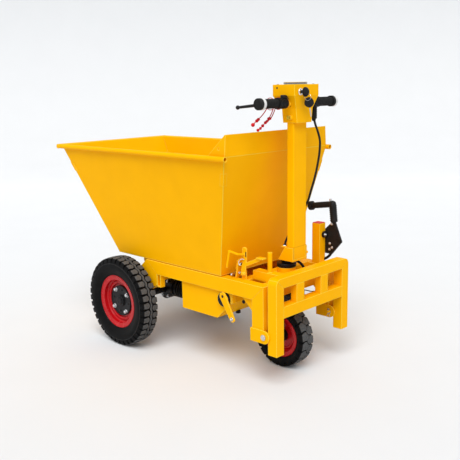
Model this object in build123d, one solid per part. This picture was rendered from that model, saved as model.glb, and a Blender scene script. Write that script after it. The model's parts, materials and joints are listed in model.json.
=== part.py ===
from build123d import *
import math
import os

os.makedirs("parts", exist_ok=True)

# Motorized three-wheel wheelbarrow with a forward-tipping tub.
# Lengths are in millimetres and angles in degrees. +X points forward, to the
# dumping end, +Y to the left and +Z up from the ground. The origin lies on the
# ground, halfway along the machine. Places along the machine are given as
# distances ahead of or behind the front axle, and a lead or a lag as one from
# the steering axis or from the piece that it belongs to.

# Clearances
overrun = 6.0
seat_gap = 0.3
bead_gap = 0.5
pin_clearance = 0.05
side_gap = 0.5
pin_tail = 6.0

# Tub: outer sizes at the floor and at the rim
sheet = 3.0
tub_floor_z = 414.0
tub_rim_z = 913.0
tub_floor_ahead = 86.0
tub_floor_behind = 587.0
tub_floor_half = 234.0
tub_front_run = 300.0
tub_steer_gap = 38.0
tub_rim_half = 321.0
rim_bar_radius = 10.65
rim_bar_wall = 2.6
rim_bar_drop = 7.0
rim_bar_seat = 1.5
rim_bar_tail = 14.0
backboard_top_z = 997.0
backboard_top_half = 312.0
gusset_run = 94.0
gusset_hole_radius = 6.0
gusset_hole_run = 34.0
gusset_hole_rise = 30.0
tub_lug_y = 70.0
tub_lug_thickness = 8.0
tub_lug_radius = 20.0
tub_lug_back = 70.0
tip_pivot_ahead = 70.0
tip_pivot_z = 350.0
tip_pin_radius = 10.0

# Footboard: a gate of square tube that folds down behind the rear wheel
rear_reach = 887.0
gate_tube = 44.0
gate_half = 237.5
gate_top_z = 451.0
gate_foot_z = 141.0
gate_corner_radius = 26.0
gate_top_beam_height = 40.0
gate_low_beam_z = 289.0
gate_low_beam_height = 46.0
gate_bar_width = 47.0
gate_bar_places = (89.5, -67.5)
gate_bar_depth = 30.0
gate_pivot_z = 211.0
gate_pivot_lead = 17.0
gate_sleeve_radius = 12.0
gate_pin_radius = 6.0

# Chassis
rail_top_z = 411.0
rail_height = 60.0
rail_width = 45.0
rail_outer = 238.0
rail_front_behind = 118.0
rail_rear_behind = 820.0
leg_depth = 60.0
leg_foot_z = 200.0
leg_step_z = 232.0
leg_step_depth = 14.0
leg_slope_depth = 30.0
brace_run = 67.0
brace_drop = 65.0
brace_inset = 14.0
front_leg_behind = 185.0
front_leg_foot_z = 300.0
front_nose_ahead = 10.0
front_nose_z = 300.0
front_base_z = 262.0
front_base_behind = 110.0
lug_plate_thickness = 6.0
lug_plate_radius = 27.0
lug_plate_front_behind = 756.0
lug_pin_tail = 9.0
rest_pad_width = 30.0
rest_pad_front_behind = 170.0
rest_pad_rear_behind = 560.0
rear_cross_depth = 38.0
mid_cross_lead = 40.0
mid_cross_depth = 40.0
front_cross_depth = 50.0
front_cross_height = 38.0
cheek_thickness = 8.0
cheek_radius = 20.0
cheek_base = 50.0

# Steering head and rear wheel
steer_behind = 742.0
head_tube_radius = 38.5
head_tube_top_z = 436.0
head_tube_foot_z = 345.0
head_plate_half = 60.0
head_plate_thickness = 8.0
stem_radius = 22.0
stem_collar_radius = 34.0
seal_radius = 41.0
seal_height = 19.0
seal_round = 6.0
crown_z = 292.0
crown_height = 38.0
crown_rear_reach = 55.0
crown_front_reach = 52.0
fork_inner = 44.0
fork_plate = 8.0
fork_plate_width = 44.0
rear_axle_lead = 16.0
rear_axle_radius = 10.0
rear_hub_radius = 26.0

# Tyres and steel wheels
front_wheel_radius = 207.5
front_tyre_width = 92.0
front_wheel_y = 293.0
front_rim_radius = 124.0
front_seat_radius = 106.0
front_rim_half = 33.0
front_lug_height = 9.0
front_tread_half = 36.0
front_lug_count = 38
rear_wheel_radius = 134.0
rear_tyre_width = 78.0
rear_rim_radius = 91.0
rear_seat_radius = 77.0
rear_rim_half = 27.0
rear_lug_height = 8.0
rear_tread_half = 32.0
rear_lug_count = 24
rim_lip = 3.0
rim_wall = 4.0
wheel_web = 5.0
wheel_step = 12.0
slot_width = 7.0
slot_share = 0.8
slot_start_share = 1 / 3
hub_radius = 71.0
hub_thickness = 9.0
hub_boss_radius = 27.0
hub_boss_height = 8.0

# Drive axle and motor
axle_tube_radius = 20.0
diff_radius = 52.0
diff_half_width = 34.0
brake_drum_radius = 40.0
brake_drum_width = 26.0
motor_rise = 7.5
motor_radius = 42.0
motor_length = 180.0
motor_flange_reach = 60.0
motor_fin_height = 5.0
motor_fin_width = 7.0
motor_fin_pitch = 16.0
motor_end_gap = 20.0
hanger_front_behind = 185.0
hanger_rear_behind = 210.0
hanger_depth = 26.0
hanger_foot_z = 294.0
hanger_wall = 4.0

# Column, shoe, control head and handlebar
column_rear_lag = 70.0
column_depth = 34.0
column_width = 83.0
column_corner = 4.0
shoe_foot_z = 473.0
shoe_top_z = 529.0
shoe_half = 46.0
shoe_foot_front_lead = 7.0
shoe_top_front_lag = 28.0
shoe_base = 8.0
head_foot_z = 1030.0
head_neck_z = 1086.0
head_shoulder_z = 1134.0
head_top_z = 1177.0
head_rear_lag = 101.0
head_front_lead = 7.0
head_half = 75.0
neck_rear_lag = 90.0
neck_front_lag = 20.0
neck_foot_half = 45.0
neck_top_half = 52.0
gauge_radius = 46.0
gauge_height = 9.0
gauge_lead = 52.0
key_barrel_radius = 11.0
key_barrel_length = 9.0
key_head_radius = 16.0
key_head_thickness = 9.0
key_head_lead = 13.0
key_y = 42.0
key_z = 1149.0
bar_z = 1107.0
bar_lag = 57.0
bar_tube_radius = 11.5
grip_radius = 17.5
grip_inner_half = 128.0
grip_ring_half = 206.0
grip_ring_width = 7.0
grip_flange_radius = 22.0
grip_flange_taper = 3.0
grip_end_half = 238.0
housing_radius = 21.5
housing_inner_half = 80.0
housing_rib = 2.0
housing_rib_width = 4.0
housing_rib_pitch = 9.0
lever_root_half = 100.0
lever_tip_half = 296.0
lever_mid_lead = 48.0
lever_tip_lead = 44.0
lever_mid_half = 140.0
lever_mid_z = 1104.0
lever_tip_z = 1097.0
lever_root_radius = 7.0
lever_tip_radius = 5.0
lever_ball_radius = 8.0
boot_half = 104.0
boot_radius = 12.0
boot_foot_z = 1040.0
cable_radius = 4.5

# The control cable's route: places behind the steering axis, across and up
cable_points = (
    (57.0, -104.0, 1046.0),
    (64.0, -103.0, 1020.0),
    (80.0, -101.0, 990.0),
    (87.0, -108.0, 953.0),
    (88.0, -103.0, 903.0),
    (87.0, -90.0, 850.0),
    (84.0, -74.0, 796.0),
    (80.0, -56.0, 750.0),
    (70.0, -53.0, 712.0),
    (56.0, -50.0, 688.0),
    (53.0, -37.0, 672.0),
)
cable_arc_share = 0.45

# Battery and controller box
box_front_behind = 338.0
box_rear_behind = 632.0
box_foot_z = 226.0
box_half = 224.0
box_chamfer_run = 80.0
box_chamfer_rise = 77.0
box_bracket_depth = 6.0
box_bracket_width = 22.0
box_bracket_inset = 3.0
crank_top_lag = 5.0
crank_top_rise = 16.0
crank_foot_lag = 57.0
crank_foot_drop = 71.0
crank_top_radius = 17.0
crank_foot_radius = 13.0
crank_thickness = 6.0
crank_knob_radius = 30.0
crank_knob_inset = 32.0
crank_knob_z = 318.0
crank_knob_reach = 14.5

# Parking brake post, rear peg, tub latch
post_size = 40.0
post_rear_behind = 766.0
post_y = -215.0
post_top_z = 588.0
brake_plate_thickness = 8.0
brake_plate_gap = 1.0
brake_plate_foot_z = 453.0
brake_plate_shoulder_z = 562.0
brake_plate_heel_z = 512.0
brake_plate_reach = 851.0
brake_lug_radius = 14.0
brake_lug_z = 538.0
brake_lug_y = -222.0
brake_neck_behind = 801.0
brake_neck_z = 595.0
brake_sleeve_radius = 15.0
brake_sleeve_top_behind = 800.0
brake_sleeve_top_z = 672.0
brake_grip_radius = 13.0
brake_grip_end_behind = 694.0
brake_grip_end_z = 655.0
brake_flange_radius = 20.0
brake_flange_length = 14.0
peg_radius = 9.5
peg_behind = 780.0
peg_y = 150.0
peg_top_z = 529.0
peg_bar_top_z = 448.0
peg_bar_width = 40.0
peg_bar_front_behind = 707.0
peg_bar_rear_behind = 837.0
latch_y = 203.0
latch_plate = 6.0
latch_pivot_behind = 682.0
latch_pivot_z = 436.0
latch_post_half = 12.0
latch_waist_half = 10.0
latch_bolt_radius = 6.0
latch_top_z = 546.0
latch_top_lag = 9.0
latch_head_radius = 12.0
latch_arm_root_z = 468.0
latch_arm_lag = 83.0
latch_arm_z = 506.0
latch_arm_half = 7.0
pedal_length = 34.0
pedal_width = 24.0
pedal_thickness = 5.0
pedal_seat = 3.0
handle_radius = 4.5
handle_root_z = 514.0

# Bends of the latch's handle: places behind the latch's pivot, across and up
handle_points = ((0.0, 232.0, 521.0), (-23.0, 256.0, 535.0), (-37.0, 256.0, 466.0))

# Places worked out from the sizes above
tub_rim_ahead = tub_floor_ahead + tub_front_run
tub_rim_behind = steer_behind - tub_steer_gap
mid_cross_behind = steer_behind - mid_cross_lead
rear_axle_behind = steer_behind - rear_axle_lead
column_rear_behind = steer_behind + column_rear_lag
shoe_foot_front_behind = steer_behind - shoe_foot_front_lead
shoe_top_front_behind = steer_behind + shoe_top_front_lag
head_rear_behind = steer_behind + head_rear_lag
head_front_behind = steer_behind - head_front_lead
neck_rear_behind = steer_behind + neck_rear_lag
neck_front_behind = steer_behind + neck_front_lag
bar_behind = steer_behind + bar_lag
crank_knob_behind = box_rear_behind - crank_knob_inset
crank_top_behind = crank_knob_behind + crank_top_lag
crank_top_z = crank_knob_z + crank_top_rise
crank_foot_behind = crank_knob_behind + crank_foot_lag
crank_foot_z = crank_knob_z - crank_foot_drop
latch_top_behind = latch_pivot_behind + latch_top_lag
latch_arm_behind = latch_pivot_behind + latch_arm_lag
tub_depth = tub_rim_z - tub_floor_z
front_lean_share = (tub_rim_ahead - tub_floor_ahead) / tub_depth
side_lean_share = (tub_rim_half - tub_floor_half) / tub_depth
rear_lean_share = (tub_rim_behind - tub_floor_behind) / tub_depth
rim_bar_reach = rim_bar_radius - rim_bar_seat
front_bar_out = rim_bar_reach * math.hypot(1, front_lean_share) - rim_bar_drop * front_lean_share
side_bar_out = rim_bar_reach * math.hypot(1, side_lean_share) - rim_bar_drop * side_lean_share
front_bar_ahead = tub_rim_ahead + front_bar_out
side_bar_y = tub_rim_half + side_bar_out
tub_reach = front_bar_ahead + rim_bar_radius
axle_x = (rear_reach - tub_reach) / 2
tip_x = axle_x + tip_pivot_ahead
steer_x = axle_x - steer_behind
rear_axle_x = axle_x - rear_axle_behind
gate_rear_x = axle_x - rear_reach
gate_front_x = gate_rear_x + gate_tube
gate_inner = gate_half - gate_tube
gate_pivot_x = gate_front_x + gate_pivot_lead
rail_foot_z = rail_top_z - rail_height
rail_inner = rail_outer - rail_width
leg_rear_x = axle_x - rail_rear_behind
leg_front_x = leg_rear_x + leg_depth
nose_x = axle_x + front_nose_ahead
mid_cross_x = axle_x - mid_cross_behind
column_rear_x = axle_x - column_rear_behind
bar_x = axle_x - bar_behind


def block(x0, x1, y0, y1, z0, z1):
    """Box between two corners."""
    size = Box(abs(x1 - x0), abs(y1 - y0), abs(z1 - z0))
    return Pos((x0 + x1) / 2, (y0 + y1) / 2, (z0 + z1) / 2) * size


def rod(start, end, radius):
    """Round bar between two points."""
    start, end = Vector(*start), Vector(*end)
    way = end - start
    return Solid.make_cylinder(radius, way.length, Plane(start, z_dir=way))


def taper(start, end, start_radius, end_radius):
    """Round bar between two points whose radius changes evenly."""
    start, end = Vector(*start), Vector(*end)
    way = end - start
    return Solid.make_cone(start_radius, end_radius, way.length, Plane(start, z_dir=way))


def plate(points, way):
    """Flat outline, given by its corners in space, pushed along a vector."""
    face = Face(Wire.make_polygon([Vector(*p) for p in points], close=True))
    push = Vector(*way)
    return extrude(face, amount=push.length, dir=push.normalized())


def plate_y(outline, y0, y1):
    """Outline in X and Z, thick along Y."""
    return plate([(x, y0, z) for x, z in outline], (0, y1 - y0, 0))


def plate_x(outline, x0, x1):
    """Outline in Y and Z, thick along X."""
    return plate([(x0, y, z) for y, z in outline], (x1 - x0, 0, 0))


def link_y(start, end, start_radius, end_radius, y0, y1):
    """Flat bar in X and Z with round ends, thick along Y."""
    a, b = Vector(*start), Vector(*end)
    side = Vector(b.Y - a.Y, a.X - b.X).normalized()
    corners = [a + side * start_radius, b + side * end_radius]
    corners += [b - side * end_radius, a - side * start_radius]
    bar = plate_y([(c.X, c.Y) for c in corners], y0, y1)
    for spot, radius in ((a, start_radius), (b, end_radius)):
        bar += rod((spot.X, y0, spot.Y), (spot.X, y1, spot.Y), radius)
    return bar


def hexahedron(low, high):
    """Six-sided solid between two quads whose corners come in the same order."""
    faces = [Face(Wire.make_polygon(low)), Face(Wire.make_polygon(high))]
    for i in range(len(low)):
        j = (i + 1) % len(low)
        faces.append(Face(Wire.make_polygon([low[i], low[j], high[j], high[i]])))
    return Solid(Shell(faces))


def level_quad(x0, x1, half, z):
    """Corners of a rectangle at one height."""
    return [Vector(x0, -half, z), Vector(x1, -half, z), Vector(x1, half, z), Vector(x0, half, z)]


def turned(edges, x, y, z):
    """Solid of revolution about a Y axis; edges run in (radius, along Y)."""
    solid = revolve(Face(Wire(edges)), axis=Axis.Y, revolution_arc=360)
    return Pos(x, y, z) * solid


def outline(points):
    """Straight edges through points given as (radius, along Y), closed."""
    return Wire.make_polygon([Vector(r, a, 0) for r, a in points], close=True).edges()


def both(solid):
    """A solid and its mirror image across the middle plane."""
    return [solid, mirror(solid, about=Plane.XZ)]


def keep(name, *solids):
    """Write one node; several solids of a node don't touch."""
    parts = []
    for solid in solids:
        parts.extend(solid.solids())
    export_step(parts[0] if len(parts) == 1 else Compound(children=parts), f"parts/{name}.step")


# Tub: corners as (end, side), in order round it
tub_corners = [(1, 1), (1, -1), (-1, -1), (-1, 1)]


def tub_side(level, inset):
    """Front x, rear x and half width of the tub's walls at a height."""
    rise = level - tub_floor_z
    front = tub_floor_ahead + rise * front_lean_share - inset * math.hypot(1, front_lean_share)
    rear = tub_floor_behind + rise * rear_lean_share - inset * math.hypot(1, rear_lean_share)
    half = tub_floor_half + rise * side_lean_share - inset * math.hypot(1, side_lean_share)
    return axle_x + front, axle_x - rear, half


def tub_corner(level, inset, end, side):
    """A corner of the tub's wall: end is 1 in front and -1 at the rear."""
    front, rear, half = tub_side(level, inset)
    return Vector(front if end > 0 else rear, side * half, level)


def tub_wall(first, second):
    """Wall between two corners of the tub, each given as (end, side)."""
    quads = []
    for inset in (0, sheet):
        low = [tub_corner(tub_floor_z + sheet, inset, *corner) for corner in (first, second)]
        high = [tub_corner(tub_rim_z, inset, *corner) for corner in (second, first)]
        quads.append(low + high)
    return hexahedron(*quads)


def make_tub():
    base = [tub_corner(tub_floor_z, 0, *corner) for corner in tub_corners]
    top = [tub_corner(tub_floor_z + sheet, 0, *corner) for corner in tub_corners]
    keep("tub_floor", hexahedron(base, top))
    keep("tub_front", tub_wall((1, 1), (1, -1)))
    keep("tub_rear", tub_wall((-1, 1), (-1, -1)))
    keep("tub_sides", tub_wall((1, 1), (-1, 1)), tub_wall((1, -1), (-1, -1)))


def make_backboard():
    rear_x = axle_x - tub_rim_behind
    front_x = rear_x + sheet
    half = tub_rim_half - sheet
    corners = [(-half, tub_rim_z), (half, tub_rim_z), (backboard_top_half, backboard_top_z)]
    corners.append((-backboard_top_half, backboard_top_z))
    board = plate_x(corners, rear_x, front_x)
    gusset = plate_y(
        [(front_x, tub_rim_z), (front_x, backboard_top_z), (front_x + gusset_run, tub_rim_z)],
        backboard_top_half - sheet,
        backboard_top_half,
    )
    hole_x = front_x + gusset_hole_run
    hole_z = tub_rim_z + gusset_hole_rise
    hole_y = backboard_top_half - sheet - overrun
    hole_end = (hole_x, backboard_top_half + overrun, hole_z)
    gusset -= rod((hole_x, hole_y, hole_z), hole_end, gusset_hole_radius)
    for plate_solid in both(gusset):
        board += plate_solid
    keep("tub_backboard", board)


def make_rim_bars():
    """Round tubes let into the outside of the walls under the rim."""
    z = tub_rim_z - rim_bar_drop
    front_x = axle_x + front_bar_ahead
    rear_x = axle_x - tub_rim_behind - rim_bar_tail
    side = rod((rear_x, side_bar_y, z), (front_x - rim_bar_radius, side_bar_y, z), rim_bar_radius)
    bore_start = (rear_x - overrun, side_bar_y, z)
    side -= rod(bore_start, (rear_x + gusset_run, side_bar_y, z), rim_bar_radius - rim_bar_wall)
    end_y = side_bar_y + rim_bar_radius
    front = rod((front_x, -end_y, z), (front_x, end_y, z), rim_bar_radius)
    for corner, other in zip(tub_corners, tub_corners[1:] + tub_corners[:1]):
        wall = tub_wall(corner, other)
        side -= wall
        front -= wall
    keep("tub_side_rims", *both(side))
    keep("tub_front_rim", front)


def make_tub_lugs():
    y1 = tub_lug_y + tub_lug_thickness
    corners = [
        (tip_x - tub_lug_back, tub_floor_z),
        (axle_x + tub_floor_ahead, tub_floor_z),
        (tip_x + tub_lug_radius, tip_pivot_z),
        (tip_x - tub_lug_radius, tip_pivot_z),
    ]
    lug = plate_y(corners, tub_lug_y, y1)
    lug += rod((tip_x, tub_lug_y, tip_pivot_z), (tip_x, y1, tip_pivot_z), tub_lug_radius)
    bore_radius = tip_pin_radius + pin_clearance
    bore_start = (tip_x, tub_lug_y - overrun, tip_pivot_z)
    lug -= rod(bore_start, (tip_x, y1 + overrun, tip_pivot_z), bore_radius)
    keep("tub_hinge_lugs", *both(lug))


# Chassis


def make_rails():
    front_x = axle_x - rail_front_behind
    inner_front_x = axle_x - front_leg_behind
    rail = [(leg_rear_x, rail_top_z), (front_x, rail_top_z), (inner_front_x, rail_foot_z)]
    rail.append((leg_front_x, rail_foot_z))
    rear_leg = [
        (leg_rear_x, rail_top_z),
        (leg_front_x, rail_foot_z),
        (leg_front_x, leg_foot_z),
        (leg_rear_x + leg_slope_depth, leg_foot_z),
        (leg_rear_x + leg_step_depth, leg_step_z),
        (leg_rear_x, leg_step_z),
    ]
    brace = [(leg_front_x, rail_foot_z), (leg_front_x + brace_run, rail_foot_z)]
    brace.append((leg_front_x, rail_foot_z - brace_drop))
    front_leg = [
        (front_x, rail_top_z),
        (nose_x, front_nose_z),
        (nose_x, front_base_z),
        (axle_x - front_base_behind, front_base_z),
        (inner_front_x, front_leg_foot_z),
        (inner_front_x, rail_foot_z),
    ]
    keep("chassis_rails", *both(plate_y(rail, rail_inner, rail_outer)))
    leg = plate_y(rear_leg, rail_inner, rail_outer)
    leg += plate_y(brace, rail_inner, rail_outer - brace_inset)
    keep("rear_legs", *both(leg))
    keep("front_legs", *both(plate_y(front_leg, rail_inner, rail_outer)))


def make_crossbars():
    rear_x = leg_rear_x + rear_cross_depth
    rear = block(leg_rear_x, rear_x, -rail_inner, rail_inner, rail_foot_z, rail_top_z)
    mid_x = mid_cross_x + mid_cross_depth
    mid = block(mid_cross_x, mid_x, -rail_inner, rail_inner, rail_foot_z, rail_top_z)
    front_top_z = front_base_z + front_cross_height
    front = block(nose_x - front_cross_depth, nose_x, -rail_inner, rail_inner, front_base_z, front_top_z)
    keep("crossbars", rear, mid, front)


def make_steering_head():
    """Head tube, bored for the stem, welded between two flat plates."""
    low = (steer_x, 0, head_tube_foot_z)
    high = (steer_x, 0, head_tube_top_z)
    head = rod(low, high, head_tube_radius)
    rear_x = leg_rear_x + rear_cross_depth
    for low_z in (rail_foot_z, rail_top_z - head_plate_thickness):
        high_z = low_z + head_plate_thickness
        head += block(rear_x, mid_cross_x, -head_plate_half, head_plate_half, low_z, high_z)
    below = (steer_x, 0, head_tube_foot_z - overrun)
    above = (steer_x, 0, head_tube_top_z + overrun)
    keep("steering_head", head - rod(below, above, stem_radius + pin_clearance))


def make_footboard_lugs():
    """Ears on both faces of each leg, joined by the pin the footboard turns on."""
    low_z = gate_pivot_z - lug_plate_radius
    high_z = gate_pivot_z + lug_plate_radius
    front_x = axle_x - lug_plate_front_behind
    inner_y = rail_inner - lug_plate_thickness
    outer_y = rail_outer + lug_plate_thickness
    start = (gate_pivot_x, inner_y - lug_pin_tail, gate_pivot_z)
    lugs = rod(start, (gate_pivot_x, outer_y, gate_pivot_z), gate_pin_radius)
    for y0 in (rail_outer, inner_y):
        y1 = y0 + lug_plate_thickness
        lugs += block(gate_pivot_x, front_x, y0, y1, low_z, high_z)
        lugs += rod((gate_pivot_x, y0, gate_pivot_z), (gate_pivot_x, y1, gate_pivot_z), lug_plate_radius)
    keep("footboard_lugs", *both(lugs))


def make_rest_pads():
    rear_x = axle_x - rest_pad_rear_behind
    front_x = axle_x - rest_pad_front_behind
    inner_y = rail_inner + side_gap
    outer_y = rail_inner + rest_pad_width
    pad = block(rear_x, front_x, inner_y, outer_y, rail_top_z, tub_floor_z - seat_gap)
    keep("tub_rest_pads", *both(pad))


def make_tip_hinge():
    """Two cheeks on the front crossbar and the shaft that the tub tips on."""
    y0 = tub_lug_y + tub_lug_thickness + side_gap
    y1 = y0 + cheek_thickness
    base_z = front_base_z + front_cross_height
    corners = [
        (nose_x - cheek_base, base_z),
        (nose_x, base_z),
        (tip_x + cheek_radius, tip_pivot_z),
        (tip_x, tip_pivot_z + cheek_radius),
    ]
    reach = y1 + pin_tail
    hinge = rod((tip_x, -reach, tip_pivot_z), (tip_x, reach, tip_pivot_z), tip_pin_radius)
    cheek = plate_y(corners, y0, y1)
    cheek += rod((tip_x, y0, tip_pivot_z), (tip_x, y1, tip_pivot_z), cheek_radius)
    for side in both(cheek):
        hinge += side
    keep("tip_hinge", hinge)


def make_hangers():
    """Channel hangers behind the front legs, open to the outside."""
    front_x = axle_x - hanger_front_behind
    rear_x = axle_x - hanger_rear_behind
    inner_y = rail_outer - hanger_depth
    hanger = block(rear_x, front_x, inner_y, rail_outer, hanger_foot_z, rail_foot_z)
    hanger -= block(
        rear_x + hanger_wall,
        front_x - hanger_wall,
        inner_y + hanger_wall,
        rail_outer + overrun,
        hanger_foot_z + hanger_wall,
        rail_foot_z + overrun,
    )
    keep("axle_hangers", *both(hanger))


def make_box():
    front = axle_x - box_front_behind
    rear = axle_x - box_rear_behind
    corners = [
        (front, box_foot_z),
        (front, rail_foot_z),
        (rear, rail_foot_z),
        (rear, box_foot_z + box_chamfer_rise),
        (rear + box_chamfer_run, box_foot_z),
    ]
    box = plate_y(corners, -box_half, box_half)
    bracket_y = box_half - box_bracket_inset
    low_z = box_foot_z + box_chamfer_rise
    for side in (1, -1):
        inner_y = side * (bracket_y - box_bracket_width)
        box += block(rear - box_bracket_depth, rear, inner_y, side * bracket_y, low_z, rail_foot_z)
    keep("battery_box", box)
    top = (axle_x - crank_top_behind, crank_top_z)
    foot = (axle_x - crank_foot_behind, crank_foot_z)
    y0 = box_half + crank_knob_reach
    crank = link_y(top, foot, crank_top_radius, crank_foot_radius, y0, y0 + crank_thickness)
    knob_x = axle_x - crank_knob_behind
    crank += rod((knob_x, box_half, crank_knob_z), (knob_x, y0, crank_knob_z), crank_knob_radius)
    keep("box_crank", crank)


# Parking brake, peg and latch


def make_posts():
    """Post of the parking brake, peg on its bar, and the latch's bracket."""
    rear = axle_x - post_rear_behind
    y0 = post_y - post_size / 2
    y1 = post_y + post_size / 2
    post = block(rear, rear + post_size, y0, y1, rail_top_z, post_top_z)
    x = axle_x - peg_behind
    bar_rear = axle_x - peg_bar_rear_behind
    bar_front = axle_x - peg_bar_front_behind
    half = peg_bar_width / 2
    peg = block(bar_rear, bar_front, peg_y - half, peg_y + half, rail_top_z, peg_bar_top_z)
    peg += rod((x, peg_y, peg_bar_top_z), (x, peg_y, peg_top_z), peg_radius)
    pivot_x = axle_x - latch_pivot_behind
    bracket_y = latch_y - latch_plate
    bracket = block(
        pivot_x - latch_post_half,
        pivot_x + latch_post_half,
        bracket_y - latch_plate,
        bracket_y,
        rail_top_z,
        latch_pivot_z + latch_post_half,
    )
    keep("frame_posts", post, peg, bracket)


def make_parking_brake():
    """Ratchet plate on the post's far side with a bent, sleeved lever and its grip."""
    rear = axle_x - post_rear_behind
    heel = axle_x - brake_plate_reach
    neck = (axle_x - brake_neck_behind, brake_neck_z)
    y1 = post_y - post_size / 2 - brake_plate_gap
    y0 = y1 - brake_plate_thickness
    corners = [
        (rear + brake_lug_radius, brake_lug_z + brake_lug_radius),
        (rear, brake_plate_shoulder_z),
        neck,
        (neck[0] - brake_sleeve_radius, neck[1]),
        (heel, brake_plate_heel_z),
        (neck[0], brake_plate_foot_z),
        (rear, brake_plate_foot_z),
        (rear + brake_lug_radius, brake_lug_z - brake_lug_radius),
    ]
    unit = plate_y(corners, y0, y1)
    lug_x = rear - side_gap
    lug_far_x = lug_x - brake_plate_thickness
    lug_end = (lug_far_x, brake_lug_y, brake_lug_z)
    unit += rod((lug_x, brake_lug_y, brake_lug_z), lug_end, brake_lug_radius)
    lug_foot_z = brake_lug_z - brake_lug_radius
    lug_top_z = brake_lug_z + brake_lug_radius
    unit += block(lug_far_x, lug_x, y1, brake_lug_y, lug_foot_z, lug_top_z)
    middle_y = (y0 + y1) / 2
    low = (neck[0] - brake_sleeve_radius / 2, middle_y, neck[1])
    top = (axle_x - brake_sleeve_top_behind, middle_y, brake_sleeve_top_z)
    tip = (axle_x - brake_grip_end_behind, middle_y, brake_grip_end_z)
    unit += rod(low, top, brake_sleeve_radius)
    unit += Pos(*top) * Sphere(brake_sleeve_radius)
    unit += rod(top, tip, brake_grip_radius)
    flange_end = Vector(*tip) + (Vector(*tip) - Vector(*top)).normalized() * brake_flange_length
    unit += rod(tip, tuple(flange_end), brake_flange_radius)
    keep("parking_brake", unit)


def make_latch():
    x = axle_x - latch_pivot_behind
    y0 = latch_y - latch_plate
    pivot = (x, latch_pivot_z)
    top = (axle_x - latch_top_behind, latch_top_z - latch_head_radius)
    arm_end = (axle_x - latch_arm_behind, latch_arm_z)
    waist = (top[0], (top[1] + latch_pivot_z) / 2)
    y1 = latch_y
    lever = link_y(pivot, waist, latch_post_half, latch_waist_half, y0, y1)
    lever += link_y(waist, top, latch_waist_half, latch_head_radius, y0, y1)
    lever += link_y((pivot[0], latch_arm_root_z), arm_end, latch_arm_half, latch_arm_half, y0, y1)
    pedal_front = arm_end[0] + latch_arm_half
    lever += block(
        pedal_front - pedal_length,
        pedal_front,
        y0 - pedal_width / 2,
        y0 + pedal_width / 2,
        latch_arm_z + latch_arm_half - pedal_seat,
        latch_arm_z + latch_arm_half - pedal_seat + pedal_thickness,
    )
    lever += rod((x, y1, latch_pivot_z), (x, y1 + latch_plate, latch_pivot_z), latch_bolt_radius)
    corners = [(top[0], y0, handle_root_z)]
    corners += [(x - behind, y, z) for behind, y, z in handle_points]
    lever += rod(corners[0], corners[1], handle_radius)
    for first, second in zip(corners[1:], corners[2:]):
        lever += Pos(*first) * Sphere(handle_radius)
        lever += rod(first, second, handle_radius)
    keep("latch_lever", lever)


# Drive


def make_drive():
    z = front_wheel_radius
    reach = front_wheel_y - wheel_web / 2 - side_gap
    drum_y = reach - brake_drum_width
    tube = rod((axle_x, -reach, z), (axle_x, reach, z), axle_tube_radius)
    tube += rod((axle_x, -diff_half_width, z), (axle_x, diff_half_width, z), diff_radius)
    for side in (1, -1):
        tube += rod((axle_x, side * drum_y, z), (axle_x, side * reach, z), brake_drum_radius)
    pad = block(axle_x - axle_tube_radius, nose_x, rail_inner, rail_outer, z, front_base_z)
    for side in both(pad):
        tube += side
    motor_z = z + motor_rise
    flange_x = axle_x - motor_flange_reach
    tube += rod((axle_x, 0, motor_z), (flange_x, 0, motor_z), motor_radius + motor_fin_height)
    keep("drive_axle", tube)
    end_x = flange_x - motor_length
    motor = rod((flange_x, 0, motor_z), (end_x, 0, motor_z), motor_radius)
    x = flange_x - motor_end_gap
    while x - motor_fin_width > end_x + motor_end_gap:
        fin_end = (x - motor_fin_width, 0, motor_z)
        motor += rod((x, 0, motor_z), fin_end, motor_radius + motor_fin_height)
        x -= motor_fin_pitch
    keep("drive_motor", motor)


# Wheels


def bead_seat_y(radius, rim_radius, seat, rim_half, half):
    """Half width at the bead seat, on the side wall's line carried down under the flange."""
    flange_y = rim_half - rim_lip
    bulge_r = (rim_radius + radius) / 2
    return flange_y - (rim_radius - seat) * (half - flange_y) / (bulge_r - rim_radius)


def tyre_spots(radius, rim_radius, seat, seat_y, half, tread_half, lug):
    """Corners of half a tyre's section as (radius, along Y), with the slot's mouth and lip."""
    shoulder_y = (half + tread_half) / 2
    lip_y = slot_start_share * tread_half
    fall = slot_share * lug / (tread_half - lip_y)
    lean = lug / (shoulder_y - tread_half)
    mouth_y = (lean * tread_half - fall * lip_y) / (lean - fall)
    return {
        "bead": (seat + bead_gap, seat_y - bead_gap),
        "bulge": ((rim_radius + radius) / 2, half),
        "shoulder": (radius - lug, shoulder_y),
        "edge": (radius, tread_half),
        "mouth": (radius - fall * (mouth_y - lip_y), mouth_y),
        "lip": (radius, lip_y),
    }


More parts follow.
